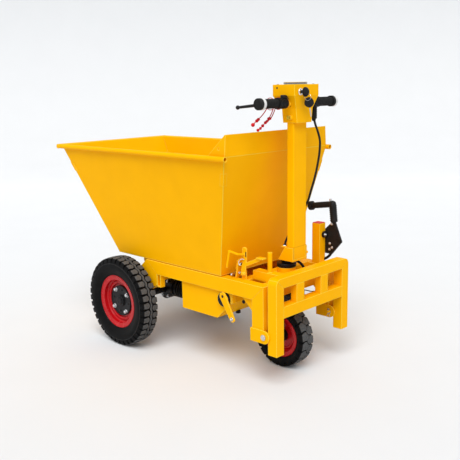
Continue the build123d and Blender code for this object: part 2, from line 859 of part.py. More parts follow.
def tyre_solid(spots, lug_count, x, y, z):
    """Tyre of flat facets, whose slots part both shoulders into lugs."""
    step = 360 / lug_count
    half_slot = math.degrees(slot_width / 2 / spots["edge"][0])
    faces = []

    def spot(name, side, angle):
        radius, along = spots[name]
        turn = math.radians(angle)
        return Vector(x + radius * math.cos(turn), y + side * along, z + radius * math.sin(turn))

    def strip(places, angle, next_angle):
        """Facet through the same places of the section at two angles."""
        corners = [spot(*place, angle) for place in places]
        corners += [spot(*place, next_angle) for place in reversed(places)]
        faces.append(Face(Wire.make_polygon(corners)))

    for i in range(lug_count):
        slot = (i * step - half_slot, i * step + half_slot)
        lug = (slot[1], (i + 1) * step - half_slot)
        for ends in (slot, lug):
            strip([("bead", 1), ("bead", -1)], *ends)
            for side in (1, -1):
                strip([("bead", side), ("bulge", side)], *ends)
                strip([("bulge", side), ("shoulder", side)], *ends)
        for side in (1, -1):
            strip([("shoulder", side), ("mouth", side)], *slot)
            strip([("mouth", side), ("lip", side)], *slot)
            strip([("shoulder", side), ("mouth", side), ("edge", side)], *lug)
            for angle in slot:
                wall = [spot(name, side, angle) for name in ("mouth", "edge", "lip")]
                faces.append(Face(Wire.make_polygon(wall)))
        strip([("lip", 1), ("lip", -1)], *slot)
        strip([("edge", 1), ("lip", 1), ("lip", -1), ("edge", -1)], *lug)
    return Solid(Shell(faces))


def wheel_section(rim_radius, seat, seat_y, rim_half, bore):
    """Pressed steel wheel: flanges, bead seats, a stepped well and its web."""
    inner = seat - rim_wall
    web = wheel_web / 2
    lip_y = rim_half - rim_lip
    return outline(
        [
            (rim_radius, rim_half),
            (rim_radius, lip_y),
            (seat, seat_y),
            (seat, -seat_y),
            (rim_radius, -lip_y),
            (rim_radius, -rim_half),
            (inner, -lip_y),
            (inner, -web - wheel_step),
            (inner - wheel_step, -web),
            (bore, -web),
            (bore, web),
            (inner - wheel_step, web),
            (inner - wheel_step / 2, web + wheel_step / 2),
            (inner, web + wheel_step),
            (inner, lip_y),
        ]
    )


def make_front_wheels():
    half = front_tyre_width / 2
    seat_y = bead_seat_y(front_wheel_radius, front_rim_radius, front_seat_radius, front_rim_half, half)
    rim = (front_rim_radius, front_seat_radius, seat_y)
    spots = tyre_spots(front_wheel_radius, *rim, half, front_tread_half, front_lug_height)
    for side, word in ((1, "left"), (-1, "right")):
        y = side * front_wheel_y
        keep(f"front_{word}_tyre", tyre_solid(spots, front_lug_count, axle_x, y, front_wheel_radius))
        section = wheel_section(*rim, front_rim_half, 0)
        keep(f"front_{word}_wheel", turned(section, axle_x, y, front_wheel_radius))
        face_y = y + side * wheel_web / 2
        mid_y = face_y + side * hub_thickness
        end_y = mid_y + side * hub_boss_height
        middle = (axle_x, mid_y, front_wheel_radius)
        hub = rod((axle_x, face_y, front_wheel_radius), middle, hub_radius)
        hub += rod(middle, (axle_x, end_y, front_wheel_radius), hub_boss_radius)
        keep(f"front_{word}_hub", hub)


def make_rear_wheel():
    half = rear_tyre_width / 2
    seat_y = bead_seat_y(rear_wheel_radius, rear_rim_radius, rear_seat_radius, rear_rim_half, half)
    rim = (rear_rim_radius, rear_seat_radius, seat_y)
    spots = tyre_spots(rear_wheel_radius, *rim, half, rear_tread_half, rear_lug_height)
    keep("rear_tyre", tyre_solid(spots, rear_lug_count, rear_axle_x, 0, rear_wheel_radius))
    bore = rear_axle_radius + pin_clearance
    wheel = turned(wheel_section(*rim, rear_rim_half, bore), rear_axle_x, 0, rear_wheel_radius)
    reach = fork_inner - side_gap
    hub = outline([(bore, -reach), (rear_hub_radius, -reach), (rear_hub_radius, reach), (bore, reach)])
    wheel += turned(hub, rear_axle_x, 0, rear_wheel_radius)
    keep("rear_wheel", wheel)


# Steering


def make_fork():
    crown_top = crown_z + crown_height
    half = fork_inner + fork_plate
    seal_foot = head_tube_top_z + seat_gap
    stem = rod((steer_x, 0, crown_top), (steer_x, 0, shoe_foot_z), stem_radius)
    stem += rod((steer_x, 0, crown_top), (steer_x, 0, head_tube_foot_z - seat_gap), stem_collar_radius)
    seal = rod((steer_x, 0, seal_foot), (steer_x, 0, seal_foot + seal_height), seal_radius)
    stem += fillet(seal.edges(), seal_round)
    keep("steering_stem", stem)
    front = rear_axle_x + fork_plate_width / 2
    crown_rear = steer_x - crown_rear_reach
    crown_front = steer_x + crown_front_reach
    fork = block(crown_rear, crown_front, -half, half, crown_z, crown_top)
    blade = plate_y(
        [
            (rear_axle_x - fork_plate_width / 2, crown_z),
            (front, crown_z),
            (front, rear_wheel_radius),
            (rear_axle_x - fork_plate_width / 2, rear_wheel_radius),
        ],
        fork_inner,
        half,
    )
    foot = (rear_axle_x, fork_inner, rear_wheel_radius)
    blade += rod(foot, (rear_axle_x, half, rear_wheel_radius), fork_plate_width / 2)
    for side in both(blade):
        fork += side
    reach = half + pin_tail
    start = (rear_axle_x, -reach, rear_wheel_radius)
    fork += rod(start, (rear_axle_x, reach, rear_wheel_radius), rear_axle_radius)
    keep("rear_fork", fork)


def column_solid():
    front = column_rear_x + column_depth
    half = column_width / 2
    foot_z = shoe_foot_z + shoe_base
    column = block(column_rear_x, front, -half, half, foot_z, head_foot_z)
    return fillet(column.edges().filter_by(Axis.Z), column_corner)


def make_column():
    column = column_solid()
    keep("column", column)
    corners = [
        (column_rear_x, shoe_foot_z),
        (axle_x - shoe_foot_front_behind, shoe_foot_z),
        (axle_x - shoe_top_front_behind, shoe_top_z),
        (column_rear_x, shoe_top_z),
    ]
    shoe = plate_y(corners, -shoe_half, shoe_half)
    keep("column_shoe", shoe - column)


def head_solid():
    """Control head: a neck that widens into the shoulders of an oblong box."""
    rear = axle_x - head_rear_behind
    front = axle_x - head_front_behind
    neck_rear = axle_x - neck_rear_behind
    neck_front = axle_x - neck_front_behind
    foot = level_quad(neck_rear, neck_front, neck_foot_half, head_foot_z)
    waist = level_quad(neck_rear, neck_front, neck_top_half, head_neck_z)
    shoulder = level_quad(rear, front, head_half, head_shoulder_z)
    head = hexahedron(foot, waist) + hexahedron(waist, shoulder)
    return head + block(rear, front, -head_half, head_half, head_shoulder_z, head_top_z)


def make_head():
    head = head_solid()
    rear = axle_x - head_rear_behind
    gauge_x = axle_x - head_front_behind - gauge_lead
    top = (gauge_x, 0, head_top_z + gauge_height)
    keep("control_head", head + rod((gauge_x, 0, head_top_z), top, gauge_radius))
    barrel_x = rear - key_barrel_length
    key = rod((rear, key_y, key_z), (barrel_x, key_y, key_z), key_barrel_radius)
    head_x = barrel_x - key_head_lead
    half = key_head_thickness / 2
    key += rod((head_x, key_y - half, key_z), (head_x, key_y + half, key_z), key_head_radius)
    keep("ignition_key", key)
    bar = rod((bar_x, 0, bar_z), (bar_x, grip_end_half - grip_flange_taper, bar_z), bar_tube_radius)
    keep("handlebar", *[tube - head for tube in both(bar)])


def make_grips():
    """Rubber grips, closed at the end by a flange."""
    tube_end = grip_end_half - grip_flange_taper
    flange_y = grip_ring_half + grip_ring_width
    section = outline(
        [
            (bar_tube_radius, grip_inner_half),
            (grip_radius, grip_inner_half),
            (grip_radius, flange_y),
            (grip_flange_radius, flange_y),
            (grip_flange_radius, tube_end),
            (grip_flange_radius - grip_flange_taper, grip_end_half),
            (0, grip_end_half),
            (0, tube_end),
            (bar_tube_radius, tube_end),
        ]
    )
    keep("grips", *both(turned(section, bar_x, 0, bar_z)))


def housing_section():
    """Ribbed collar between the neck and the grip."""
    points = [(bar_tube_radius, housing_inner_half)]
    y = housing_inner_half
    while y + housing_rib_pitch <= grip_inner_half:
        points += [(housing_radius, y), (housing_radius, y + housing_rib_width)]
        points += [(housing_radius - housing_rib, y + housing_rib_width)]
        points += [(housing_radius - housing_rib, y + housing_rib_pitch)]
        y += housing_rib_pitch
    points += [(housing_radius, y), (housing_radius, grip_inner_half)]
    points.append((bar_tube_radius, grip_inner_half))
    return outline(points)


def boot_solid():
    return rod((bar_x, -boot_half, boot_foot_z), (bar_x, -boot_half, bar_z), boot_radius)


def make_levers():
    """Housings on the handlebar: brake lever on the left, cable boot on the right."""
    left, right = both(turned(housing_section(), bar_x, 0, bar_z))
    arm = (bar_x + lever_mid_lead, lever_root_half, lever_mid_z)
    middle = (bar_x + lever_mid_lead, lever_mid_half, lever_mid_z)
    tip = (bar_x + lever_tip_lead, lever_tip_half, lever_tip_z)
    start = (bar_x + bar_tube_radius + lever_root_radius, lever_root_half, lever_mid_z)
    left += rod(start, arm, lever_ball_radius)
    left += Pos(*arm) * Sphere(lever_ball_radius)
    left += rod(arm, middle, lever_root_radius)
    left += Pos(*middle) * Sphere(lever_root_radius)
    left += taper(middle, tip, lever_root_radius, lever_tip_radius)
    left += Pos(*tip) * Sphere(lever_ball_radius)
    bar = rod((bar_x, -grip_inner_half, bar_z), (bar_x, -housing_inner_half, bar_z), bar_tube_radius)
    keep("bar_housings", left, right + (boot_solid() - bar))


def make_cable():
    """Control cable from the right housing's boot to its grommet on the column."""
    points = [Vector(steer_x - behind, y, z) for behind, y, z in cable_points]
    radii = []
    for before, here, after in zip(points, points[1:], points[2:]):
        runs = (here - before, after - here)
        turn = math.radians(runs[0].get_angle(runs[1]))
        radii.append(cable_arc_share * min(run.length for run in runs) / math.tan(turn / 2))
    print("cable radii", [round(radius) for radius in radii])
    path = FilletPolyline(*points, radius=radii)
    section = Plane(path @ 0, z_dir=path % 0) * Circle(cable_radius)
    cable = sweep(section, path=path)
    print("cable volume ratio", round(cable.volume / (math.pi * cable_radius**2 * path.length), 4))
    keep("control_cable", cable - column_solid() - boot_solid())


# Footboard


def make_footboard():
    beam_z = gate_top_z - gate_top_beam_height
    slab = block(gate_rear_x, gate_front_x, -gate_half, gate_half, gate_foot_z, gate_top_z)
    top_edges = slab.edges().filter_by(Axis.X).group_by(Axis.Z)[-1]
    slab = fillet(top_edges, gate_corner_radius)
    leg = [(gate_inner, gate_foot_z), (gate_half, gate_foot_z)]
    leg += [(gate_half, gate_top_z), (gate_inner, beam_z)]
    beam = [(-gate_inner, beam_z), (gate_inner, beam_z)]
    beam += [(gate_half, gate_top_z), (-gate_half, gate_top_z)]
    pivot = (gate_pivot_x, gate_inner, gate_pivot_z)
    leg_solid = plate_x(leg, gate_rear_x, gate_front_x) & slab
    leg_solid += rod(pivot, (gate_pivot_x, gate_half, gate_pivot_z), gate_sleeve_radius)
    low_z = gate_pivot_z - gate_sleeve_radius
    high_z = gate_pivot_z + gate_sleeve_radius
    leg_solid += block(gate_front_x, gate_pivot_x, gate_inner, gate_half, low_z, high_z)
    bore_start = (gate_pivot_x, gate_inner - overrun, gate_pivot_z)
    bore_end = (gate_pivot_x, gate_half + overrun, gate_pivot_z)
    leg_solid -= rod(bore_start, bore_end, gate_pin_radius + pin_clearance)
    keep("footboard_legs", *both(leg_solid))
    top_beam = plate_x(beam, gate_rear_x, gate_front_x) & slab
    low_top = gate_low_beam_z + gate_low_beam_height
    low_beam = block(gate_rear_x, gate_front_x, -gate_inner, gate_inner, gate_low_beam_z, low_top)
    keep("footboard_beams", top_beam, low_beam)
    bars = []
    for y in gate_bar_places:
        y0, y1 = y - gate_bar_width / 2, y + gate_bar_width / 2
        bars.append(block(gate_rear_x, gate_rear_x + gate_bar_depth, y0, y1, low_top, beam_z))
    keep("footboard_bars", *bars)


make_tub()
make_backboard()
make_rim_bars()
make_tub_lugs()
make_rails()
make_crossbars()
make_steering_head()
make_footboard_lugs()
make_rest_pads()
make_tip_hinge()
make_hangers()
make_box()
make_posts()
make_parking_brake()
make_latch()
make_drive()
make_front_wheels()
make_rear_wheel()
make_fork()
make_column()
make_head()
make_grips()
make_levers()
make_cable()
make_footboard()
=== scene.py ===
"""Looks of the motorized wheelbarrow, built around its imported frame.

Lengths are in metres in the row's frame: +X forward, +Y left, +Z up, ground at
z = 0. Places along the machine are given from the front axle at AXLE.
"""

import json
import math

import bmesh
import bpy
import numpy as np
from mathutils import Matrix, Vector


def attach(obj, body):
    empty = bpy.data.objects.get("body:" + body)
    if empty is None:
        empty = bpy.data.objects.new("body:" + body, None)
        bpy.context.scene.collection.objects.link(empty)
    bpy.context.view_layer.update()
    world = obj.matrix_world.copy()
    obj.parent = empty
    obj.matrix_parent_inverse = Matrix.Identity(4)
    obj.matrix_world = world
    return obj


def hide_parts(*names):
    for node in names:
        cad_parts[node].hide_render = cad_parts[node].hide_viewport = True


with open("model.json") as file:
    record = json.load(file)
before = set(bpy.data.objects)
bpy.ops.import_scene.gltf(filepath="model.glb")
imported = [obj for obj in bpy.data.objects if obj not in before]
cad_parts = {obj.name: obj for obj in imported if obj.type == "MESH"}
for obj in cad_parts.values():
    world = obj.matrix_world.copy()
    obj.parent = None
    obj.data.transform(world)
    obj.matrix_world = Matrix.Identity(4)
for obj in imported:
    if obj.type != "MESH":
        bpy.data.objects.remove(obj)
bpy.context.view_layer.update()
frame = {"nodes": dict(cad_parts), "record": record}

AXLE = 0.241941
WHEEL_Y = 0.293
WHEEL_R = 0.2075
REAR_X = AXLE - 0.726
REAR_R = 0.134
# A front wheel's web lies this far out from its middle, and the hub plate is this thick on it
WEB_OUT = 0.0025
HUB_PLATE = 0.009

# Materials


def shader(name):
    mat = bpy.data.materials.new(name)
    mat.use_nodes = True
    tree = mat.node_tree
    return mat, tree, tree.nodes["Principled BSDF"]


def coords(tree, scale=(1, 1, 1)):
    """Object coordinates, scaled per axis."""
    place = tree.nodes.new("ShaderNodeTexCoord")
    mapping = tree.nodes.new("ShaderNodeMapping")
    mapping.inputs["Scale"].default_value = scale
    tree.links.new(place.outputs["Object"], mapping.inputs["Vector"])
    return mapping.outputs["Vector"]


def noise(tree, vector, scale, detail=3.0, rough=0.5):
    node = tree.nodes.new("ShaderNodeTexNoise")
    node.inputs["Scale"].default_value = scale
    node.inputs["Detail"].default_value = detail
    node.inputs["Roughness"].default_value = rough
    tree.links.new(vector, node.inputs["Vector"])
    return node.outputs["Fac"]


def ramp(tree, value, low, high, start=0.3, end=0.7):
    node = tree.nodes.new("ShaderNodeValToRGB")
    node.color_ramp.elements[0].position = start
    node.color_ramp.elements[1].position = end
    node.color_ramp.elements[0].color = (*low, 1)
    node.color_ramp.elements[1].color = (*high, 1)
    tree.links.new(value, node.inputs["Fac"])
    return node.outputs["Color"]


def map_range(tree, value, source=(0.0, 1.0), target=(0.0, 1.0)):
    """Value carried from one range to another, and held inside it."""
    node = tree.nodes.new("ShaderNodeMapRange")
    for name, limit in zip(("From Min", "From Max", "To Min", "To Max"), (*source, *target)):
        node.inputs[name].default_value = limit
    tree.links.new(value, node.inputs["Value"])
    return node.outputs["Result"]


def span(tree, value, low, high):
    """Noise, whose values lie mostly between a quarter and three quarters, spread from low to high."""
    return map_range(tree, value, (0.25, 0.75), (low, high))


def vector_math(tree, operation, first, second=None):
    """Vector maths on sockets or plain vectors."""
    node = tree.nodes.new("ShaderNodeVectorMath")
    node.operation = operation
    for value, socket in zip((first, second), node.inputs):
        if isinstance(value, tuple):
            socket.default_value = value
        elif value is not None:
            tree.links.new(value, socket)
    return node


def bump(tree, value, strength, distance, normal=None):
    node = tree.nodes.new("ShaderNodeBump")
    node.inputs["Strength"].default_value = strength
    node.inputs["Distance"].default_value = distance
    tree.links.new(value, node.inputs["Height"])
    if normal is not None:
        tree.links.new(normal, node.inputs["Normal"])
    return node.outputs["Normal"]


def blend(tree, factor, first, second):
    """Colour mixed from one to the other by a factor."""
    mix = tree.nodes.new("ShaderNodeMix")
    mix.data_type = "RGBA"
    tree.links.new(factor, mix.inputs["Factor"])
    pair = [socket for socket in mix.inputs if socket.type == "RGBA"]
    tree.links.new(first, pair[0])
    tree.links.new(second, pair[1])
    return [out for out in mix.outputs if out.type == "RGBA"][0]


# Cosine between the flat and the softened normal where the painted edge highlight starts, and where it is
# strongest
EDGE_HIGHLIGHT_FROM = 0.99
EDGE_HIGHLIGHT_TO = 0.86


def paint(name, dark, light, roughness, edge, coat, gloss, rim=None):
    """Sprayed paint with a cloudy tone, orange peel and edges softened over the radius edge.

    The edges get a painted highlight, paler towards the rim colour, where rim names a colour.
    """
    mat, tree, base = shader(name)
    where = coords(tree)
    colour = ramp(tree, noise(tree, where, 9.0, 4.0), dark, light)
    tree.links.new(colour, base.inputs["Base Color"])
    low, high = roughness
    tree.links.new(span(tree, noise(tree, where, 38.0), low, high), base.inputs["Roughness"])
    soft = tree.nodes.new("ShaderNodeBevel")
    soft.samples = 6
    soft.inputs["Radius"].default_value = edge
    normal = soft.outputs["Normal"]
    # Paler edges here are a painted highlight, standing in for light caught by rounded corners
    if rim:
        flat = tree.nodes.new("ShaderNodeNewGeometry")
        turn = vector_math(tree, "DOT_PRODUCT", normal, flat.outputs["Normal"])
        wear_and_edge_highlight = map_range(tree, turn.outputs["Value"], (EDGE_HIGHLIGHT_FROM, EDGE_HIGHLIGHT_TO))
        pale = tree.nodes.new("ShaderNodeRGB")
        pale.outputs["Color"].default_value = (*rim, 1)
        edge_highlighted = blend(tree, wear_and_edge_highlight, colour, pale.outputs["Color"])
        tree.links.new(edge_highlighted, base.inputs["Base Color"])
    fine = noise(tree, where, 420.0, 2.0)
    tree.links.new(bump(tree, fine, 0.05, 0.0006, normal), base.inputs["Normal"])
    base.inputs["Coat Weight"].default_value = coat
    base.inputs["Coat Roughness"].default_value = 0.12
    base.inputs["Specular IOR Level"].default_value = gloss
    return mat


def rubber(name, dark, light, scale=60.0, grain=900.0, roughness=(0.5, 0.75), strength=0.25, gloss=0.16):
    """Black rubber or plastic with grain and faint dust."""
    mat, tree, base = shader(name)
    where = coords(tree)
    tree.links.new(ramp(tree, noise(tree, where, scale, 5.0, 0.6), dark, light), base.inputs["Base Color"])
    low, high = roughness
    tree.links.new(span(tree, noise(tree, where, scale / 3), low, high), base.inputs["Roughness"])
    tree.links.new(bump(tree, noise(tree, where, grain, 3.0), strength, 0.0004), base.inputs["Normal"])
    base.inputs["Specular IOR Level"].default_value = gloss
    return mat


def metal(name, dark, light, roughness, stretch=(1, 1, 1), scale=220.0):
    """Bare or plated metal with fine drawn marks."""
    mat, tree, base = shader(name)
    base.inputs["Metallic"].default_value = 1.0
    where = coords(tree, stretch)
    tree.links.new(ramp(tree, noise(tree, where, scale, 4.0), dark, light), base.inputs["Base Color"])
    low, high = roughness
    tree.links.new(span(tree, noise(tree, where, scale * 2), low, high), base.inputs["Roughness"])
    tree.links.new(bump(tree, noise(tree, where, scale * 3, 2.0), 0.08, 0.0002), base.inputs["Normal"])
    return mat


# The yellow's edges carry a painted highlight in the paler rim colour
YELLOW = paint("yellow_paint_look", (0.940, 0.448, 0.0), (0.980, 0.476, 0.0), (0.40, 0.52),
               edge=0.0034, coat=0.01, gloss=0.03, rim=(1.0, 0.80, 0.09))
RED = paint("red_paint_look", (0.40, 0.003, 0.006), (0.52, 0.006, 0.010), (0.20, 0.30),
            edge=0.001, coat=0.14, gloss=0.2)
BLACK_PAINT = paint("black_paint_look", (0.005, 0.005, 0.006), (0.013, 0.013, 0.014), (0.32, 0.46),
                    edge=0.001, coat=0.04, gloss=0.16)


def tread_rubber(name, x, z, low, high):
    """Tyre rubber: near-black walls, and paler worn block tops between two radii from the wheel's axis."""
    mat, tree, base = shader(name)
    where = coords(tree)
    off = vector_math(tree, "SUBTRACT", where, (x, 0, z))
    flat = vector_math(tree, "MULTIPLY", off.outputs["Vector"], (1, 0, 1))
    length = vector_math(tree, "LENGTH", flat.outputs["Vector"])
    wear_and_edge_highlight = map_range(tree, length.outputs["Value"], (low, high))
    wall = ramp(tree, noise(tree, where, 45.0, 5.0, 0.6), (0.003, 0.003, 0.0032), (0.006, 0.006, 0.0062))
    top = ramp(tree, noise(tree, where, 130.0, 5.0, 0.6), (0.064, 0.064, 0.064), (0.112, 0.112, 0.112))
    tree.links.new(blend(tree, wear_and_edge_highlight, wall, top), base.inputs["Base Color"])
    rough = map_range(tree, wear_and_edge_highlight, target=(0.46, 0.72))
    tree.links.new(rough, base.inputs["Roughness"])
    tree.links.new(bump(tree, noise(tree, where, 700.0, 3.0), 0.14, 0.0004), base.inputs["Normal"])
    base.inputs["Specular IOR Level"].default_value = 0.06
    return mat


TYRE = rubber("tyre_look", (0.006, 0.006, 0.006), (0.014, 0.014, 0.014), 45.0, 700.0, (0.5, 0.7))
FRONT_TREAD = tread_rubber("front_tread_look", AXLE, WHEEL_R, WHEEL_R - 0.0046, WHEEL_R - 0.0026)
REAR_TREAD = tread_rubber("rear_tread_look", REAR_X, REAR_R, REAR_R - 0.0046, REAR_R - 0.0026)
# Paler rubber for the thin side wall rings: a painted highlight along the moulded ring
WALL_RING_HIGHLIGHT = rubber("wall_ring_highlight_look", (0.030, 0.030, 0.030), (0.055, 0.055, 0.055), 45.0, 700.0, (0.5, 0.7))
RUBBER = rubber("rubber_look", (0.006, 0.006, 0.006), (0.014, 0.014, 0.014), 80.0)
PLASTIC = rubber("plastic_look", (0.008, 0.008, 0.009), (0.017, 0.017, 0.018), 70.0, 1400.0,
                 (0.32, 0.5), 0.12)
ZINC = metal("zinc_look", (0.50, 0.51, 0.52), (0.74, 0.75, 0.76), (0.2, 0.36))
STEEL = metal("steel_look", (0.42, 0.42, 0.43), (0.62, 0.62, 0.63), (0.24, 0.4), (1, 12, 1))
CHROME = metal("chrome_look", (0.70, 0.70, 0.71), (0.84, 0.84, 0.85), (0.08, 0.16))
DARK_CHROME = metal("dark_chrome_look", (0.16, 0.16, 0.17), (0.30, 0.30, 0.31), (0.14, 0.24))
WHITE = rubber("white_plastic_look", (0.68, 0.68, 0.67), (0.76, 0.76, 0.75), 90.0, 1200.0, (0.35, 0.5), 0.08)
RED_CAP = rubber("red_cap_look", (0.62, 0.020, 0.030), (0.74, 0.036, 0.045), 60.0, 1100.0, (0.4, 0.55), 0.1)
RED_TIE = rubber("red_tie_look", (0.50, 0.004, 0.010), (0.64, 0.010, 0.016), 90.0, 900.0, (0.3, 0.45), 0.08)
SEAM = rubber("seam_look", (0.66, 0.270, 0.0), (0.78, 0.330, 0.0), 120.0, 900.0, (0.5, 0.7), 0.1, 0.05)
DIAL = rubber("dial_look", (0.50, 0.50, 0.51), (0.58, 0.58, 0.59), 30.0, 600.0, (0.25, 0.35), 0.05)
DARK_DIAL = rubber("dark_dial_look", (0.03, 0.03, 0.035), (0.05, 0.05, 0.055), 40.0, 600.0,
                   (0.15, 0.25), 0.04)

SLOT_LOOKS = {
    "yellow_paint": YELLOW,
    "red_paint": RED,
    "black_plastic": PLASTIC,
    "black_rubber": RUBBER,
    "black_metal": BLACK_PAINT,
    "tyre_rubber": TYRE,
    "steel": STEEL,
}
for part in frame["record"]["subparts"]:
    node = frame["nodes"][part["node"]]
    for place in node.material_slots:
        place.material = SLOT_LOOKS[part["material_slot"]]

# Mesh helpers


def add(name, verts, faces, mat, body, smooth=False, slot=None):
    """Mesh object riding on a body; the slot argument is not used."""
    mesh = bpy.data.meshes.new(name)
    mesh.from_pydata([tuple(map(float, v)) for v in verts], [], [tuple(map(int, f)) for f in faces])
    mesh.validate()
    mesh.update()
    mesh.materials.append(mat)
    if smooth:
        mesh.polygons.foreach_set("use_smooth", [True] * len(mesh.polygons))
        mesh.set_sharp_from_angle(angle=math.radians(38))
    obj = bpy.data.objects.new(name, mesh)
    bpy.context.scene.collection.objects.link(obj)
    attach(obj, body)
    return obj


def merge(parts):
    """Join (verts, faces) lists into one."""
    verts, faces, base = [], [], 0
    for part_verts, part_faces in parts:
        verts.extend(part_verts)
        faces.extend([tuple(i + base for i in face) for face in part_faces])
        base += len(part_verts)
    return verts, faces


def frame_of(axis):
    """Two unit vectors square to an axis."""
    axis = Vector(axis).normalized()
    side = Vector((0, 0, 1)) if abs(axis.z) < 0.9 else Vector((1, 0, 0))
    u = axis.cross(side).normalized()
    return axis, u, axis.cross(u)


def lathe(profile, origin, axis, count=32):
    """Closed shape turned about an axis; profile holds (radius, along)."""
    axis, u, v = frame_of(axis)
    origin = Vector(origin)
    verts, faces = [], []
    n = len(profile)
    for i in range(count):
        angle = 2 * math.pi * i / count
        way = u * math.cos(angle) + v * math.sin(angle)
        for radius, along in profile:
            verts.append(origin + axis * along + way * radius)
    for i in range(count):
        j = (i + 1) % count
        for k in range(n - 1):
            faces.append((i * n + k, i * n + k + 1, j * n + k + 1, j * n + k))
    if profile[0][0] > 0:
        faces.append(tuple(i * n for i in range(count)))
    if profile[-1][0] > 0:
        faces.append(tuple(i * n + n - 1 for i in reversed(range(count))))
    return verts, faces


def ring(profile, origin, axis, count=48):
    """Turned ring whose profile is itself a closed loop."""
    axis, u, v = frame_of(axis)
    origin = Vector(origin)
    verts, faces = [], []
    n = len(profile)
    for i in range(count):
        angle = 2 * math.pi * i / count
        way = u * math.cos(angle) + v * math.sin(angle)
        for radius, along in profile:
            verts.append(origin + axis * along + way * radius)
    for i in range(count):
        j = (i + 1) % count
        for k in range(n):
            m = (k + 1) % n
            faces.append((i * n + k, i * n + m, j * n + m, j * n + k))
    return verts, faces


def torus(origin, axis, radius, wire, count=40, sides=10):
    """Ring of round wire about an axis."""
    loop = [
        (radius + wire * math.cos(2 * math.pi * k / sides), wire * math.sin(2 * math.pi * k / sides))
        for k in range(sides)
    ]
    return ring(loop, origin, axis, count)


def rod(start, end, radius, count=20, chamfer=0.0):
    """Round bar between two points."""
    start, end = Vector(start), Vector(end)
    length = (end - start).length
    c = min(chamfer, length / 3)
    if c:
        profile = [(radius - c, 0), (radius, c), (radius, length - c), (radius - c, length)]
    else:
        profile = [(radius, 0), (radius, length)]
    return lathe(profile, start, end - start, count)


def ball(centre, radius, rows, count):
    """Round bead, turned about the upright axis."""
    profile = []
    for k in range(rows + 1):
        angle = math.pi * k / rows
        profile.append((radius * math.sin(angle), -radius * math.cos(angle)))
    profile[0], profile[-1] = (0, -radius), (0, radius)
    return lathe(profile, centre, (0, 0, 1), count)


def hexagon(start, end, across):
    """Six-sided bar between two points, across its flats."""
    start, end = Vector(start), Vector(end)
    length = (end - start).length
    r = across / 2 / math.cos(math.pi / 6)
    c = across * 0.06
    return lathe([(r - c, 0), (r, c), (r, length - c), (r - c, length)], start, end - start, 6)


WASHER_THICK = 0.0012
THREAD_END = 0.0020


def bolt(point, way, across, height, washer):
    """Hexagon head on a washer, standing on a face, with its thread's end showing."""
    point, way = Vector(point), Vector(way).normalized()
    seat = point + way * WASHER_THICK
    top = point + way * (WASHER_THICK + height)
    end = point + way * (WASHER_THICK + THREAD_END + height)
    return merge([
        rod(point, seat, washer, 24, 0.0003),
        hexagon(seat, top, across),
        rod(top, end, across * 0.3, 16, 0.0006),
    ])


def brick(low, high, chamfer=0.0):
    """Box with chamfered edges."""
    low, high = Vector(low), Vector(high)
    c = min(chamfer, *[(high[k] - low[k]) / 3 for k in range(3)])
    if not c:
        verts = [(x, y, z) for x in (low.x, high.x) for y in (low.y, high.y) for z in (low.z, high.z)]
        faces = [(0, 1, 3, 2), (4, 6, 7, 5), (0, 4, 5, 1), (2, 3, 7, 6), (0, 2, 6, 4), (1, 5, 7, 3)]
        return verts, faces
    verts = []
    for sx in (0, 1):
        for sy in (0, 1):
            for sz in (0, 1):
                corner = [(high if s else low)[k] for k, s in enumerate((sx, sy, sz))]
                inward = [-c if s else c for s in (sx, sy, sz)]
                for k in range(3):
                    verts.append([corner[m] + (0 if m == k else inward[m]) for m in range(3)])
    return hull(verts)


def hull(verts):
    """Convex hull of a few points as (verts, faces)."""
    bm = bmesh.new()
    for v in verts:
        bm.verts.new(v)
    bmesh.ops.convex_hull(bm, input=bm.verts)
    bm.verts.ensure_lookup_table()
    bm.verts.index_update()
    out = [v.co.copy() for v in bm.verts], [tuple(v.index for v in f.verts) for f in bm.faces]
    bm.free()
    return out


def prism(points, way):
    """Flat outline pushed along a vector."""
    n = len(points)
    way = Vector(way)
    verts = [Vector(p) for p in points] + [Vector(p) + way for p in points]
    faces = [tuple(reversed(range(n))), tuple(range(n, 2 * n))]
    faces += [(i, (i + 1) % n, n + (i + 1) % n, n + i) for i in range(n)]
    return verts, faces


def curve_points(points, steps=8):
    """Smooth run through points, by uniform Catmull-Rom splines."""
    pts = [Vector(p) for p in points]
    pts = [pts[0] * 2 - pts[1]] + pts + [pts[-1] * 2 - pts[-2]]
    out = []
    for i in range(1, len(pts) - 2):
        a, b, c, d = pts[i - 1 : i + 3]
        for k in range(steps):
            t = k / steps
            square = 2 * a - 5 * b + 4 * c - d
            cube = 3 * b - a - 3 * c + d
            out.append(0.5 * (2 * b + (c - a) * t + square * t**2 + cube * t**3))
    out.append(pts[-2])
    return out


def tube(points, radius, count=12, steps=8):
    """Round bar along a smooth run, or along straight stretches where steps is 1."""
    line = curve_points(points, steps) if steps > 1 else [Vector(p) for p in points]
    n = len(line)
    verts, faces = [], []
    side = None
    for i, p in enumerate(line):
        way = (line[min(i + 1, n - 1)] - line[max(i - 1, 0)]).normalized()
        if side is None:
            side = frame_of(way)[1]
        side = (side - way * side.dot(way)).normalized()
        other = way.cross(side)
        for k in range(count):
            angle = 2 * math.pi * k / count
            verts.append(p + (side * math.cos(angle) + other * math.sin(angle)) * radius)
    for i in range(n - 1):
        for k in range(count):
            m = (k + 1) % count
            faces.append((i * count + k, i * count + m, (i + 1) * count + m, (i + 1) * count + k))
    faces.append(tuple(reversed(range(count))))
    faces.append(tuple(range((n - 1) * count, n * count)))
    return verts, faces


def at(behind, y, z):
    """Point given in millimetres behind the front axle, across and up."""
    return Vector((AXLE - behind / 1000, y / 1000, z / 1000))


# Tyres


def smooth_step(x, low, high):
    """Soft step from 0 at low to 1 at high."""
    t = np.clip((x - low) / (high - low), 0, 1)
    return t * t * (3 - 2 * t)


